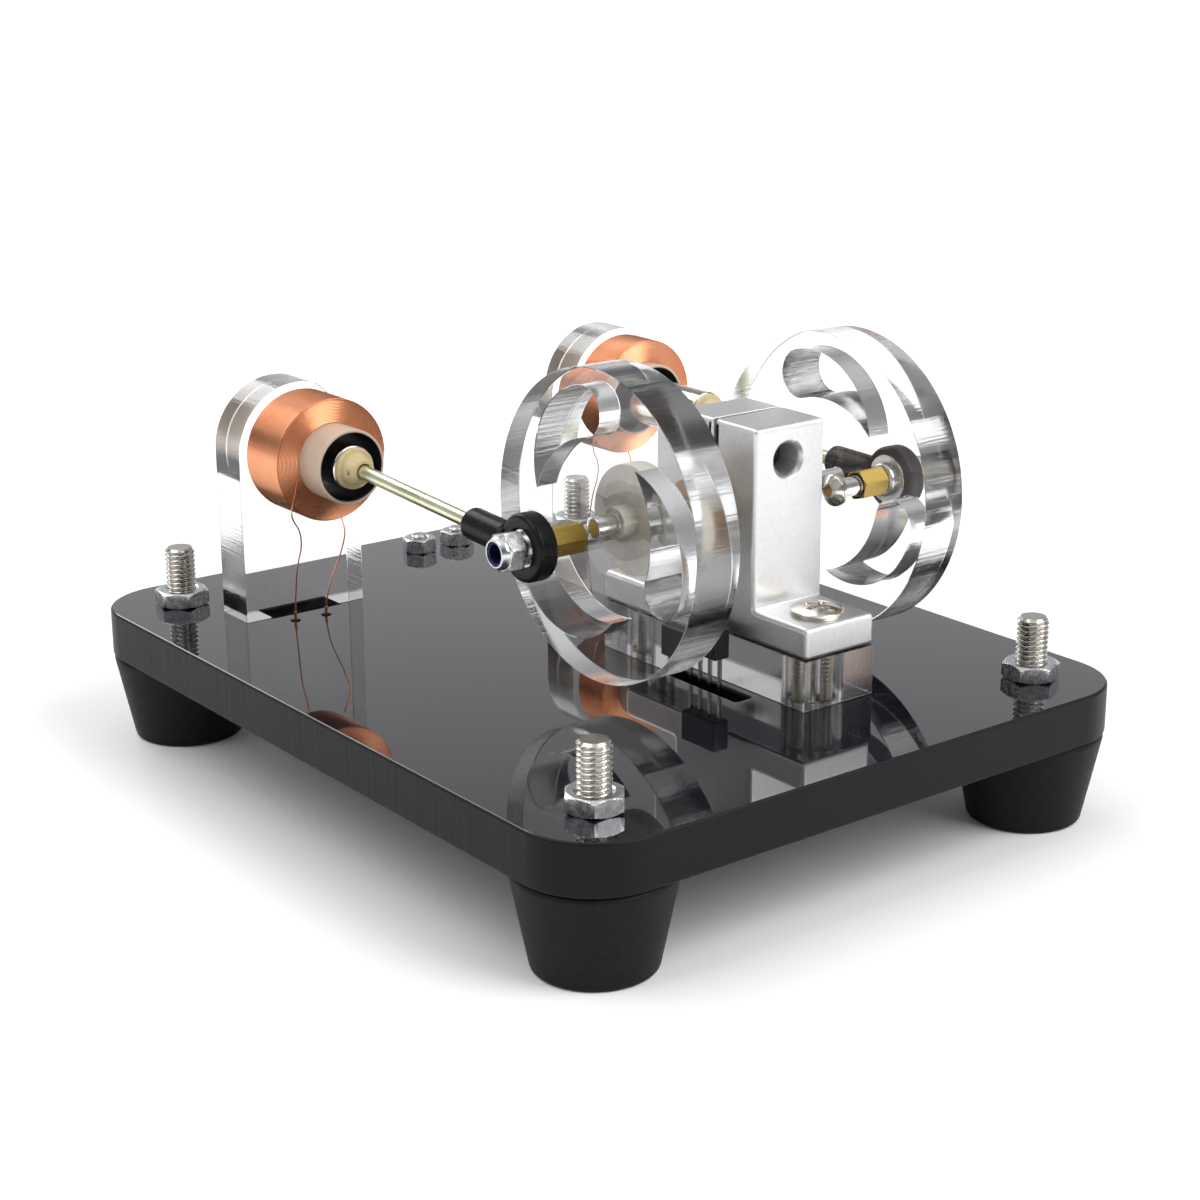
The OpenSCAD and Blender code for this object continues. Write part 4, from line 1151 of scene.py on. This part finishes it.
@dataclass
class Coil:
    """A clear stand with a bobbin, its winding and its two leads.

    Args:
        side: Which rod train the coil drives.
        x: Place of its axis along X.
        y: Front end of the winding along Y.
        length: Length of the winding.
        bobbin_y: Front end of the bobbin along Y.
        stand_y: Front face of the stand along Y.
        z: Height of the coil's axis.
        top: Height of the plate's top face.
        stand_w: Width of the stand.
        stand_t: Thickness of the stand.
        tab: Width of the tab that goes into the plate.
        bobbin_r: Outer radius of the bobbin.
        bore: Inner radius of the bobbin.
        core_r: Outer radius of the winding's core.
        wire: Diameter of the wire.
    """

    side: Side
    x: float
    y: float
    length: float
    bobbin_y: float
    stand_y: float
    z: float = 51.3 * MM
    top: float = 23 * MM
    stand_w: float = 22.5 * MM
    stand_t: float = 8 * MM
    tab: float = 13 * MM
    bobbin_r: float = 6.15 * MM
    bore: float = 5.5 * MM
    core_r: float = 9.98 * MM
    wire: float = 0.24 * MM

    def stand(self, shop: Workshop) -> None:
        """Extrudes the stand: a tab, two shoulders, straight sides and a half round top, with the bobbin's hole."""
        h, tab, z = self.stand_w / 2, self.tab / 2, self.z
        floor = self.top + 0.03 * MM
        foot = np.array([[-tab, 15 * MM], [tab, 15 * MM], [tab, floor], [h, floor]])
        outline = np.concatenate([foot, arc(0, z, h, 0, 180, 61), np.array([[-h, floor], [-tab, floor]])])
        hole = circle(0, z, self.bobbin_r + 0.02 * MM, 72, True)
        shell = prism_shell([outline, hole], self.stand_t, 0.12 * MM).moved(faced(Axis.Y, self.x, self.stand_y, 0))
        obj = mesh_object(self.side.value + "_stand", [shell])
        shop.place(obj, "base", "clear_acrylic", "clear_acrylic_Y", self.side.value + "_coil_stand")

    def bobbin(self, shop: Workshop) -> None:
        """Turns the bobbin tube with soft rims."""
        profile = ring_profile(self.bobbin_y, self.stand_y + self.stand_t, self.bore, self.bobbin_r, 0.22 * MM)
        shell = lathe_shell(profile).moved(along(Axis.Y, self.x, 0, self.z))
        # This material carries painted shade in the bore and painted copper light on the tube.
        white = bobbin_plastic(self.side.value + "_bobbin_plastic", (self.x, 0, self.z), 5.72 * MM)
        shop.place(mesh_object(self.side.value + "_bobbin_tube", [shell]), "base", "white_plastic", white,
            self.side.value + "_bobbin")

    def winding(self, shop: Workshop) -> None:
        """Winds the coil.

        The core is turned from a closed profile whose ends ripple by one wire from layer to layer. Round it runs one
        unbroken wire: at turn angle t it lies at radius R and y = start + step t / (2 pi), with a slow wander along y.
        """
        layers = np.linspace(self.bobbin_r + 0.02 * MM, self.core_r, 110)
        ripple = 0.02 * MM * np.sin(layers / self.wire * 2 * np.pi)
        front = np.column_stack([self.y + 0.06 * MM - ripple, layers])
        back = np.column_stack([self.y + self.length - 0.06 * MM + ripple, layers])[::-1]
        core = lathe_shell(np.concatenate([front, back]), 96).moved(along(Axis.Y, self.x, 0, self.z))
        face = copper_wire(self.side.value + "_copper_face", self.wire, True, (self.x, 0, self.z))
        shop.place(mesh_object(self.side.value + "_coil_core", [core], 80), "base", "copper", face,
            self.side.value + "_winding_core")
        loops = int((self.length - self.wire) / (self.wire * 0.98))
        n = loops * 56
        t = np.arange(n + 1) / 56
        wander = 0.015 * MM * np.sin(t * 2.1) * np.sin(t * 0.7)
        angle = 2 * np.pi * t
        r = self.core_r + self.wire * 0.36
        path = np.column_stack(
            [self.x + r * np.cos(angle), self.y + self.wire / 2 + 0.05 * MM + self.wire * 0.98 * t + wander,
                self.z + r * np.sin(angle)]
        )
        wire = tube_shell(path, self.wire / 2, 6, (0, 1, 0))
        band = copper_wire(self.side.value + "_copper_band", self.wire * 0.98, False, (self.x, self.y, self.z))
        shop.place(mesh_object(self.side.value + "_coil_turns", [wire], 80), "base", "copper", band,
            self.side.value + "_winding")

    def leads(self, shop: Workshop) -> None:
        """Hangs the two leads from the winding down through the plate."""
        shells = []
        for route in (ROUTE_FROM_FACE, ROUTE_FROM_UNDER):
            path = smooth_route(route) + np.array([self.x, self.y, self.top])
            shells.append(tube_shell(path, 0.12 * MM, 10, (0, 1, 0)))
            shells.append(tube_shell(path[path[:, 2] < self.top + 1.9 * MM], 0.24 * MM, 12, (0, 1, 0)))
        copper = copper_wire(self.side.value + "_copper_lead", 5 * MM, False, (self.x, self.y, self.z))
        shop.place(mesh_object(self.side.value + "_lead_wires", shells), "base", "copper", copper,
            self.side.value + "_coil_leads")

    def build(self, shop: Workshop) -> None:
        """Makes the whole coil."""
        self.stand(shop)
        self.bobbin(shop)
        self.winding(shop)
        self.leads(shop)


@dataclass
class Support:
    """Riser, block, bushings, screws and the sensor below the shaft.

    Args:
        x: Middle of the block along X.
        y: Place of the shaft along Y.
        z: Height of the shaft.
        half_x: Half the block's thickness.
        half_y: Half the length of the block's foot.
        post_front: Distance from the shaft to the post's front face.
        post_back: Distance from the shaft to the post's back face.
        low: Height of the foot's underside.
        foot_top: Height of the foot's top.
        top: Height of the post's top.
        screw_step: Distance of the two screws from the shaft along Y.
        clamp_x: Place of the clamp screw along X.
        clamp_z: Height of the clamp screw.
        clamp_r: Radius of the clamp screw's hole.
    """

    x: float = 11 * MM
    y: float = -26.5 * MM
    z: float = 51 * MM
    half_x: float = 7 * MM
    half_y: float = 21.7 * MM
    post_front: float = 9.75 * MM
    post_back: float = 9 * MM
    low: float = 31 * MM
    foot_top: float = 36 * MM
    top: float = 64.2 * MM
    screw_step: float = 16.3 * MM
    clamp_x: float = 10.5 * MM
    clamp_z: float = 58.8 * MM
    clamp_r: float = 2.35 * MM

    def riser(self, shop: Workshop) -> None:
        """Extrudes the clear riser with its screw holes, a hair clear of plate and block so that its faces mirror."""
        hx, hy = self.half_x, self.half_y
        outline = np.array([[-hx, -hy], [hx, -hy], [hx, hy], [-hx, hy]])
        holes = [circle(0, s * self.screw_step, 3.2 * MM, 64, True) for s in (-1, 1)]
        shell = prism_shell([outline, *holes], 7.92 * MM, 0.12 * MM)
        shell = shell.moved(Matrix.Translation((self.x, self.y, 23.05 * MM)))
        shop.place(mesh_object("riser", [shell]), "base", "clear_acrylic", "clear_acrylic_Z", "support_riser")

    def screws(self, shop: Workshop) -> None:
        """Threads the foot screws through the riser, under domed heads with a cross recess."""
        shells, nuts = [], []
        for s in (-1, 1):
            cy = self.y + s * self.screw_step
            shells.append(thread_shell(10.5 * MM, 36.2 * MM, 2 * MM, 0.7 * MM).moved(along(Axis.Z, self.x, cy, 0)))
            shells.append(self.head_shell().moved(along(Axis.Z, self.x, cy, self.foot_top, 35 + 20 * s)))
            nuts.append(nut_shell(7 * MM, 3.2 * MM, 1.97 * MM).moved(along(Axis.Z, self.x, cy, 11.8 * MM)))
        shop.place(mesh_object("block_screws", shells, 28), "base", "nickel", "nickel", "support_screws")
        shop.place(mesh_object("block_nuts", nuts, 24), "base", "zinc_plate", "zinc_plate", "support_nuts")

    def head_shell(self) -> Shell:
        """A flat-based head whose low dome sinks into a cross.

        The dome's height at radius r is rim + rise (1 - (r / R)^2). At polar place (r, t) the cross mask is the smaller
        of |r cos t| and |r sin t| against a slot's half width, faded out towards the arms' ends, times its depth.
        """
        big, rim, rise = 4.15 * MM, 0.8 * MM, 0.5 * MM
        r = np.linspace(1e-6, big - 0.2 * MM, 44)[:, None]
        t = np.linspace(0, 2 * np.pi, 160, endpoint=False)[None, :]
        u, v = np.abs(r * np.cos(t)), np.abs(r * np.sin(t))
        narrow, long_way = np.minimum(u, v), np.maximum(u, v)
        wall = np.clip((0.52 * MM - narrow) / (0.16 * MM), 0, 1)
        end = np.clip((2.2 * MM - long_way) / (0.5 * MM), 0, 1)
        face = np.stack([rim + rise * (1 - (r / big) ** 2) - 1.0 * MM * wall * end, r * np.cos(t), r * np.sin(t)], -1)
        under = filleted([(rim + 0.02 * MM, big - 0.15 * MM, 0), (rim - 0.12 * MM, big, 0.1 * MM),
            (0.01 * MM, big, 0.03 * MM), (0.01 * MM, 1e-6, 0)])
        a, b = under[:, 0, None], under[:, 1, None]
        below = np.stack([a + 0 * t, b * np.cos(t), b * np.sin(t)], -1)
        return grid_shell(np.concatenate([face, below]), caps=True)

    def block_shell(self) -> Shell:
        """The block: an upside-down T whose outline runs down one side of the slit, round the bore and up the other."""
        y, z, slit, bore, r = self.y, self.z, 0.45 * MM, 4.02 * MM, 0.8 * MM

        def flank(post: float, way: int) -> np.ndarray:
            """Outline of one side of the T, from under the shaft to the bore's top."""
            corners = [(0, self.low, 0), (self.half_y, self.low, r), (self.half_y, self.foot_top, r),
                (post, self.foot_top, r * 0.6)]
            corners += [(post, self.top, r), (slit, self.top, r * 0.2), (slit, z + bore, 0)]
            return filleted([(y + way * v, w, q) for v, w, q in corners], 5)

        lean = math.degrees(math.asin(slit / bore))
        round_bore = arc(y, z, bore, 90 - lean, lean - 270, 72)
        outline = np.concatenate([flank(self.post_back, 1)[:-1], round_bore, flank(self.post_front, -1)[::-1][1:-1]])
        return prism_shell([outline], 2 * self.half_x, 0.7 * MM, 5).moved(faced(Axis.X, self.x - self.half_x))

    def block(self, shop: Workshop) -> None:
        """Cuts the clamp hole out of the block and dresses what sits in it."""
        face, r = self.y - self.post_front, self.clamp_r
        mouth = [(face - 2 * MM, 1e-6, 0), (face - 2 * MM, r + 0.78 * MM, 0),
            (face - 0.02 * MM, r + 0.78 * MM, 0), (face + 0.75 * MM, r, 0)]
        mouth += [(face + 7.25 * MM, r, 0), (face + 7.25 * MM, 1e-6, 0)]
        drill = lathe_shell(filleted(mouth), 64, False).moved(along(Axis.Y, self.clamp_x, 0, self.clamp_z))
        tool = mesh_object("clamp_cutter", [drill])
        obj = cut("shaft_block", mesh_object("block_blank", [self.block_shell()], 60), tool, 30)
        shop.place(obj, "base", "aluminium", "aluminium", "shaft_support")
        obj = softened("clamp_cap_screw", "clamp_screw", 0.15 * MM, 2)
        shop.place(obj, "base", "black_oxide", "black_oxide", "clamp_screw")
        for side in Side:
            outward = -1 if side is Side.FRONT else 1
            face = self.x + outward * 7 * MM
            corners = [
                (1 * MM, 3 * MM, 0),
                (1 * MM, 4.5 * MM, 0.2 * MM),
                (0, 4.5 * MM, 0.05 * MM),
                (0, 4 * MM, 0.05 * MM),
                (-5 * MM, 4 * MM, 0.2 * MM),
                (-5 * MM, 1.53 * MM, 0.2 * MM),
                (1 * MM, 1.53 * MM, 0.2 * MM),
                (1 * MM, 3 * MM, 0),
            ]
            profile = filleted([(face + outward * a, r, s) for a, r, s in corners])[:-1]
            shell = lathe_shell(profile, 72).moved(along(Axis.X, 0, self.y, self.z))
            shop.place(mesh_object(side.value + "_flanged_bush", [shell]), "base", "bronze", "bronze",
                side.value + "_bushing")

    def sensor(self, shop: Workshop) -> None:
        """Rounds the sensor's body and legs."""
        shop.place(softened("sensor_body", "hall_sensor", 0.3 * MM, 3), "base", "sensor_black", "sensor_black",
            "hall_sensor")
        shop.place(softened("sensor_legs", "hall_leads", 0.06 * MM, 2), "base", "nickel", "nickel", "hall_leads")

    def build(self, shop: Workshop) -> None:
        """Makes everything between plate and shaft."""
        self.riser(shop)
        self.block(shop)
        self.screws(shop)
        self.sensor(shop)


@dataclass
class Crank:
    """The crankshaft, its flywheels, the sensor disc and the crank pins' screws and standoffs.

    Args:
        y: Place of the shaft along Y.
        z: Height of the shaft.
        shaft_r: Radius of the shaft.
        front_x: Outer face of the front flywheel along X, where the shaft starts.
        rear_x: Inner face of the rear flywheel along X.
        t: Thickness of the flywheels.
        r: Radius of the flywheels.
        crank: Distance from the shaft to each crank pin.
        front_angle: Angle of the front crank pin in degrees, from +Y towards +Z.
        rear_angle: The same for the rear crank pin.
        front_len: Length of the front standoff.
        rear_len: Length of the rear standoff.
        pin_r: Radius of the holes for the crank pins' screws.
        span: Angle in degrees from a comma's tail to the middle of its head.
        outer_circle: Middle and radius of the circle that a comma's outer edge follows.
        inner_circle: The same for its inner edge.
        head_at: Distance of a comma's head from the shaft.
        head_r: Radius of a comma's head.
        front_start: Angle of the front flywheel's first comma in degrees.
        rear_start: The same for the rear flywheel, whose commas are mirrored.
        gap: Distance from the front flywheel to the sensor disc.
        disc_r: Radius of the sensor disc.
        disc_t: Thickness of the sensor disc.
        disc_bore: Radius of the bore of the disc and its spacer.
        spacer_r: Outer radius of the spacer that fills the gap.
    """

    y: float = -26.5 * MM
    z: float = 51 * MM
    shaft_r: float = 1.5 * MM
    front_x: float = -19 * MM
    rear_x: float = 26 * MM
    t: float = 8 * MM
    r: float = 23.8 * MM
    crank: float = 4.15 * MM
    front_angle: float = -31.0
    rear_angle: float = -171.0
    front_len: float = 6.6 * MM
    rear_len: float = 5.2 * MM
    pin_r: float = 1.53 * MM
    span: float = 69.0
    outer_circle: tuple[float, float, float] = (2.53 * MM, 6.92 * MM, 13.7 * MM)
    inner_circle: tuple[float, float, float] = (-0.75 * MM, -1.75 * MM, 15.26 * MM)
    head_at: float = 17.2 * MM
    head_r: float = 3.85 * MM
    front_start: float = 13
    rear_start: float = 141
    gap: float = 2.8 * MM
    disc_r: float = 8.5 * MM
    disc_t: float = 3.5 * MM
    disc_bore: float = 1.52 * MM
    spacer_r: float = 2.5 * MM

    def pin(self, side: Side) -> tuple[float, float]:
        """Place of a crank pin as y and z: the shaft's axis plus the crank radius at the side's angle."""
        a = math.radians(self.front_angle if side is Side.FRONT else self.rear_angle)
        return self.y + self.crank * math.cos(a), self.z + self.crank * math.sin(a)

    def comma(self, start: float, flip: bool) -> np.ndarray:
        """Outline of one comma cut-out, clockwise.

        Its outer and inner edges are arcs of two circles off the wheel's centre, read as a radius for each angle p:
        c.u + sqrt((c.u)^2 - c^2 + R^2) with u the unit vector at p. A half circle joins them at the head.

        Args:
            start: Angle of the tail in degrees.
            flip: Whether the head lies clockwise of the tail.

        Returns:
            Array of n by 2 points about the wheel's centre.
        """
        p = np.radians(np.linspace(0.35, self.span, 40))
        u = np.column_stack([np.cos(p), np.sin(p)])

        def edge(cx: float, cy: float, r: float) -> np.ndarray:
            """Points of a circle's arc seen from the wheel's centre."""
            c = np.array([cx, cy])
            along_u = u @ c
            return u * (along_u + np.sqrt(along_u**2 - c @ c + r * r))[:, None]

        outer, inner = edge(*self.outer_circle), edge(*self.inner_circle)
        a = math.radians(self.span)
        cx, cy = self.head_at * math.cos(a), self.head_at * math.sin(a)
        head = arc(cx, cy, self.head_r, self.span + 4, self.span + 176, 28)
        loop = np.concatenate([outer, head, inner[:0:-1]])
        if flip:
            loop = loop * np.array([1, -1])
        turn = math.radians(start)
        loop = loop @ np.array([[math.cos(turn), math.sin(turn)], [-math.sin(turn), math.cos(turn)]])
        return loop if flip else loop[::-1]

    def flywheel(self, shop: Workshop, side: Side) -> None:
        """Extrudes one flywheel with its bore, crank hole and three commas."""
        front = side is Side.FRONT
        angle = math.radians(self.front_angle if front else self.rear_angle)
        start = self.front_start if front else self.rear_start
        outlines = [circle(0, 0, self.r, 192), circle(0, 0, self.shaft_r + 0.02 * MM, 40, True)]
        outlines.append(circle(self.crank * math.cos(angle), self.crank * math.sin(angle), self.pin_r, 40, True))
        outlines += [self.comma(start + 120 * k, not front) for k in range(3)]
        put = faced(Axis.X, self.front_x if front else self.rear_x, self.y, self.z)
        shell = prism_shell(outlines, self.t, 0.12 * MM, 2).moved(put)
        shop.place(mesh_object(side.value + "_wheel", [shell], 35), "crank", "clear_acrylic", "clear_acrylic_X",
            side.value + "_flywheel")

    def disc(self, shop: Workshop) -> None:
        """Extrudes the disc behind the front flywheel and the spacer between them."""
        a = math.radians(self.front_angle)
        bore = circle(0, 0, self.disc_bore, 40, True)
        hole = circle(self.crank * math.cos(a), self.crank * math.sin(a), self.pin_r, 40, True)
        plate = prism_shell([circle(0, 0, self.disc_r, 96), bore, hole], self.disc_t, 0.2 * MM)
        plate = plate.moved(faced(Axis.X, self.front_x + self.t + self.gap, self.y, self.z))
        ring = prism_shell([circle(0, 0, self.spacer_r, 48), bore], self.gap, 0.05 * MM)
        shells = [plate, ring.moved(faced(Axis.X, self.front_x + self.t, self.y, self.z))]
        shop.place(mesh_object("magnet_disc", shells), "crank", "ferrite", "ferrite", "sensor_disc")

    def pan_screw(self, length: float) -> list[Shell]:
        """A pan head and threaded shank along +X from the head's seat at 0."""
        head = filleted([(0, 1e-6, 0), (0, 2.6 * MM, 0.05 * MM), (-0.8 * MM, 2.6 * MM, 0.6 * MM),
            (-2 * MM, 1.1 * MM, 0.8 * MM), (-2 * MM, 1e-6, 0)], 8)
        return [lathe_shell(head, 72, False), thread_shell(-0.2 * MM, length, 1.5 * MM, 0.5 * MM)]

    def build(self, shop: Workshop) -> None:
        """Makes everything that turns with the shaft."""
        end = self.rear_x + self.t
        shaft = lathe_shell(rod_profile(self.front_x, end, self.shaft_r, 0.25 * MM), 64, False)
        shaft = shaft.moved(along(Axis.X, 0, self.y, self.z))
        shop.place(mesh_object("crank_rod", [shaft]), "crank", "ground_steel", "ground_steel", "crankshaft")
        self.disc(shop)
        for side in Side:
            self.flywheel(shop, side)
        (fy, fz), (ry, rz) = self.pin(Side.FRONT), self.pin(Side.REAR)
        seat = Matrix.Translation((self.front_x + self.t + self.gap + self.disc_t, fy, fz))
        turned = seat @ Matrix.Rotation(math.pi, 4, "Z")
        screws = [s.moved(turned) for s in self.pan_screw(self.t + self.gap + 6.5 * MM)]
        screws += [s.moved(Matrix.Translation((self.rear_x, ry, rz))) for s in self.pan_screw(self.t + 3 * MM)]
        shop.place(mesh_object("crank_pan_screws", screws, 28), "crank", "nickel", "nickel", "crank_screws")
        for side, x, length, (py, pz) in ((Side.FRONT, self.front_x - self.front_len, self.front_len, (fy, fz)),
                (Side.REAR, end, self.rear_len, (ry, rz))):
            turn = 25 if side is Side.FRONT else 14
            shell = nut_shell(4.3 * MM, length, self.pin_r).moved(along(Axis.X, x, py, pz, turn))
            shop.place(mesh_object(side.value + "_hex_standoff", [shell], 24), "crank", "brass", "brass",
                side.value + "_standoff_nut")


@dataclass
class RodTrain:
    """A rod with its rod end, bearing, stud and lock nut, and the piston that it hangs from.

    Args:
        side: Which coil the train belongs to.
        x: Place of the rod's axis along X.
        pivot_y: Place of the wrist pin along Y.
        tilt: Tilt of the rod about X in degrees.
        length: Distance from the wrist pin to the crank pin.
        pivot_z: Height of the wrist pin.
        rod_r: Radius of the rod.
    """

    side: Side
    x: float
    pivot_y: float
    tilt: float
    length: float
    pivot_z: float = 51.3 * MM
    rod_r: float = 1.15 * MM

    def laid(self) -> Matrix:
        """Placement of a piece drawn about the pivot with +X away from the flywheels and the crank pin at -Y."""
        away = Matrix.Scale(-1, 4, (1, 0, 0)) if self.side is Side.FRONT else Matrix()
        place = Matrix.Translation((self.x, self.pivot_y, self.pivot_z))
        return place @ Matrix.Rotation(math.radians(self.tilt), 4, "X") @ away

    def piece(self, shop: Workshop, name: str, shells: list[Shell], slot: str, node: str, crease: float = 32) -> None:
        """Lays shells on the rod and finishes them as one piece of the rod's body."""
        put = self.laid()
        obj = mesh_object(self.side.value + "_" + name, [s.moved(put) for s in shells], crease)
        shop.place(obj, self.side.value + "_rod_body", slot, slot, self.side.value + "_" + node)

    def build(self, shop: Workshop) -> None:
        """Makes the rod, its moulded end, the bearing, stud and lock nut, then the piston."""
        ring = -self.length
        rod = lathe_shell(rod_profile(ring + 7.2 * MM, 0.9 * MM, self.rod_r, 0.2 * MM), 48, False)
        self.piece(shop, "push_rod", [rod.moved(along(Axis.Y))], "olive_zinc", "rod")
        shift = (-0.55 if self.side is Side.FRONT else 0.55) * MM
        to_axis, to_ring = along(Axis.X, 0, ring, 0), along(Axis.X, shift, ring, 0)
        half = 1.75 * MM
        eye = filleted([(0, 3 * MM, 0), (-half, 3 * MM, 0.2 * MM), (-half, 5.2 * MM, 0.8 * MM),
            (half, 5.2 * MM, 0.8 * MM), (half, 3 * MM, 0.2 * MM), (0, 3 * MM, 0)], 6)[:-1]
        neck = [(3.6, 1e-6, 0), (3.6, 1.2, 0), (4.15, 2.3, 0.4), (4.9, 2.5, 0.8), (13.8, 2.5, 0.6),
            (13.8, 1.25, 0.1), (13.5, 1.17, 0), (13.5, 1e-6, 0)]
        shank = filleted([(ring + u * MM, r * MM, q * MM) for u, r, q in neck], 5)
        self.piece(shop, "moulded_end", [lathe_shell(eye, 96).moved(to_ring),
            lathe_shell(shank, 64, False).moved(along(Axis.Y))], "black_plastic", "rod_end")
        self.bearing(shop, shift, to_axis, to_ring)
        stud = thread_shell(-2.8 * MM, shift + 4.3 * MM, 1.5 * MM, 0.5 * MM)
        self.piece(shop, "threaded_stud", [stud.moved(to_axis)], "stainless", "stud")
        start = 2.35 * MM
        nut = [nut_shell(5.5 * MM, 2.9 * MM, 1.53 * MM).moved(along(Axis.X, shift + start, ring, 0, 12))]
        rim = [(2.6, 2.2, 0), (2.6, 2.62, 0), (3.3, 2.5, 0.4), (4, 2.15, 0.3), (4, 1.85, 0.06), (2.6, 1.85, 0),
            (2.6, 2.2, 0)]
        collar = filleted([(start + u * MM, r * MM, q * MM) for u, r, q in rim])[:-1]
        nut.append(lathe_shell(collar, 64).moved(to_ring))
        self.piece(shop, "nyloc", nut, "zinc_plate", "lock_nut", 24)
        lining = [(3, 1.6, 0), (3, 1.83, 0), (3.8, 1.83, 0.12), (3.8, 1.4, 0.12), (2, 1.4, 0), (2, 1.5, 0),
            (3, 1.5, 0), (3, 1.6, 0)]
        insert = filleted([(start + u * MM, r * MM, q * MM) for u, r, q in lining])[:-1]
        self.piece(shop, "blue_ring", [lathe_shell(insert, 48).moved(to_ring)], "blue_nylon", "lock_insert")
        self.piston(shop)

    def bearing(self, shop: Workshop, shift: float, to_axis: Matrix, to_ring: Matrix) -> None:
        """Turns the bearing's race and sleeve, and on the flywheel's side a washer with a domed collar.

        Args:
            shop: Finishes the piece.
            shift: Place of the ring's middle along the crank pin.
            to_axis: Placement about the crank pin with the rod's plane at 0.
            to_ring: Placement about the crank pin with the ring's middle at 0.
        """
        race = ring_profile(-1.3 * MM, 1.3 * MM, 1.9 * MM, 2.98 * MM, 0.2 * MM)
        sleeve = ring_profile(-2 * MM, 2.35 * MM, 1.53 * MM, 2.1 * MM, 0.15 * MM)
        washer = ring_profile(-2.04 * MM, -1.78 * MM, 1.6 * MM, 3.9 * MM, 0.08 * MM)
        low, top = shift - 2 * MM, -2.9 * MM
        dome = [(low, 2 * MM, 0), (low, 2.75 * MM, 0), (top, 2.75 * MM, 0.9 * MM), (top, 1.53 * MM, 0.1 * MM),
            (low, 1.53 * MM, 0), (low, 2 * MM, 0)]
        parts = [lathe_shell(p, 72).moved(to_ring) for p in (race, sleeve, washer)]
        parts.append(lathe_shell(filleted(dome, 6)[:-1], 72).moved(to_axis))
        self.piece(shop, "ball_bearing", parts, "ground_steel", "bearing")

    def piston(self, shop: Workshop) -> None:
        """Turns the magnet and the stepped, tapering bush on its face."""
        body = self.side.value + "_piston"
        sides = rod_profile(self.pivot_y + 2 * MM, self.pivot_y + 20 * MM, 3.65 * MM, 0.3 * MM)
        magnet = lathe_shell(sides, 72, False)
        obj = mesh_object(self.side.value + "_piston_magnet", [magnet.moved(along(Axis.Y, self.x, 0, self.pivot_z))])
        shop.place(obj, body, "nickel", "nickel", self.side.value + "_magnet")
        steps = [(1.9, 2, 0), (2, 3.4, 0.05), (1.2, 3.4, 0.25), (1.2, 2.55, 0.15), (-1.3, 1.95, 0.25),
            (-1.3, 1.3, 0.12), (1.9, 1.3, 0), (1.9, 2, 0)]
        profile = filleted([(self.pivot_y + u * MM, r * MM, q * MM) for u, r, q in steps])[:-1]
        bush = mesh_object(self.side.value + "_stepped_bush",
            [lathe_shell(profile, 72).moved(along(Axis.Y, self.x, 0, self.pivot_z))])
        shop.place(bush, body, "beige_plastic", "beige_plastic", self.side.value + "_piston_bush")
        shop.dress(self.side.value + "_wrist_pin", "nickel")


def write_sizes() -> None:
    log.info("sizes written")


def main() -> None:
    """Builds the studio and every sub-assembly in order."""
    logging.basicConfig(level=logging.INFO, format="%(message)s")
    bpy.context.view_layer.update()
    Studio().build()
    shop = Workshop()
    Base().build(shop)
    Coil(Side.FRONT, -28.6 * MM, 31 * MM, 10.1 * MM, 25 * MM, 41.3 * MM).build(shop)
    Coil(Side.REAR, 42.2 * MM, 38 * MM, 7.6 * MM, 35 * MM, 45.8 * MM).build(shop)
    Support().build(shop)
    Crank().build(shop)
    RodTrain(Side.FRONT, -28.6 * MM, 22.492 * MM, 3.071, 45.5 * MM).build(shop)
    RodTrain(Side.REAR, 42.2 * MM, 18.392 * MM, 1.110, 49 * MM).build(shop)
    write_sizes()


if __name__ == "__main__":
    main()
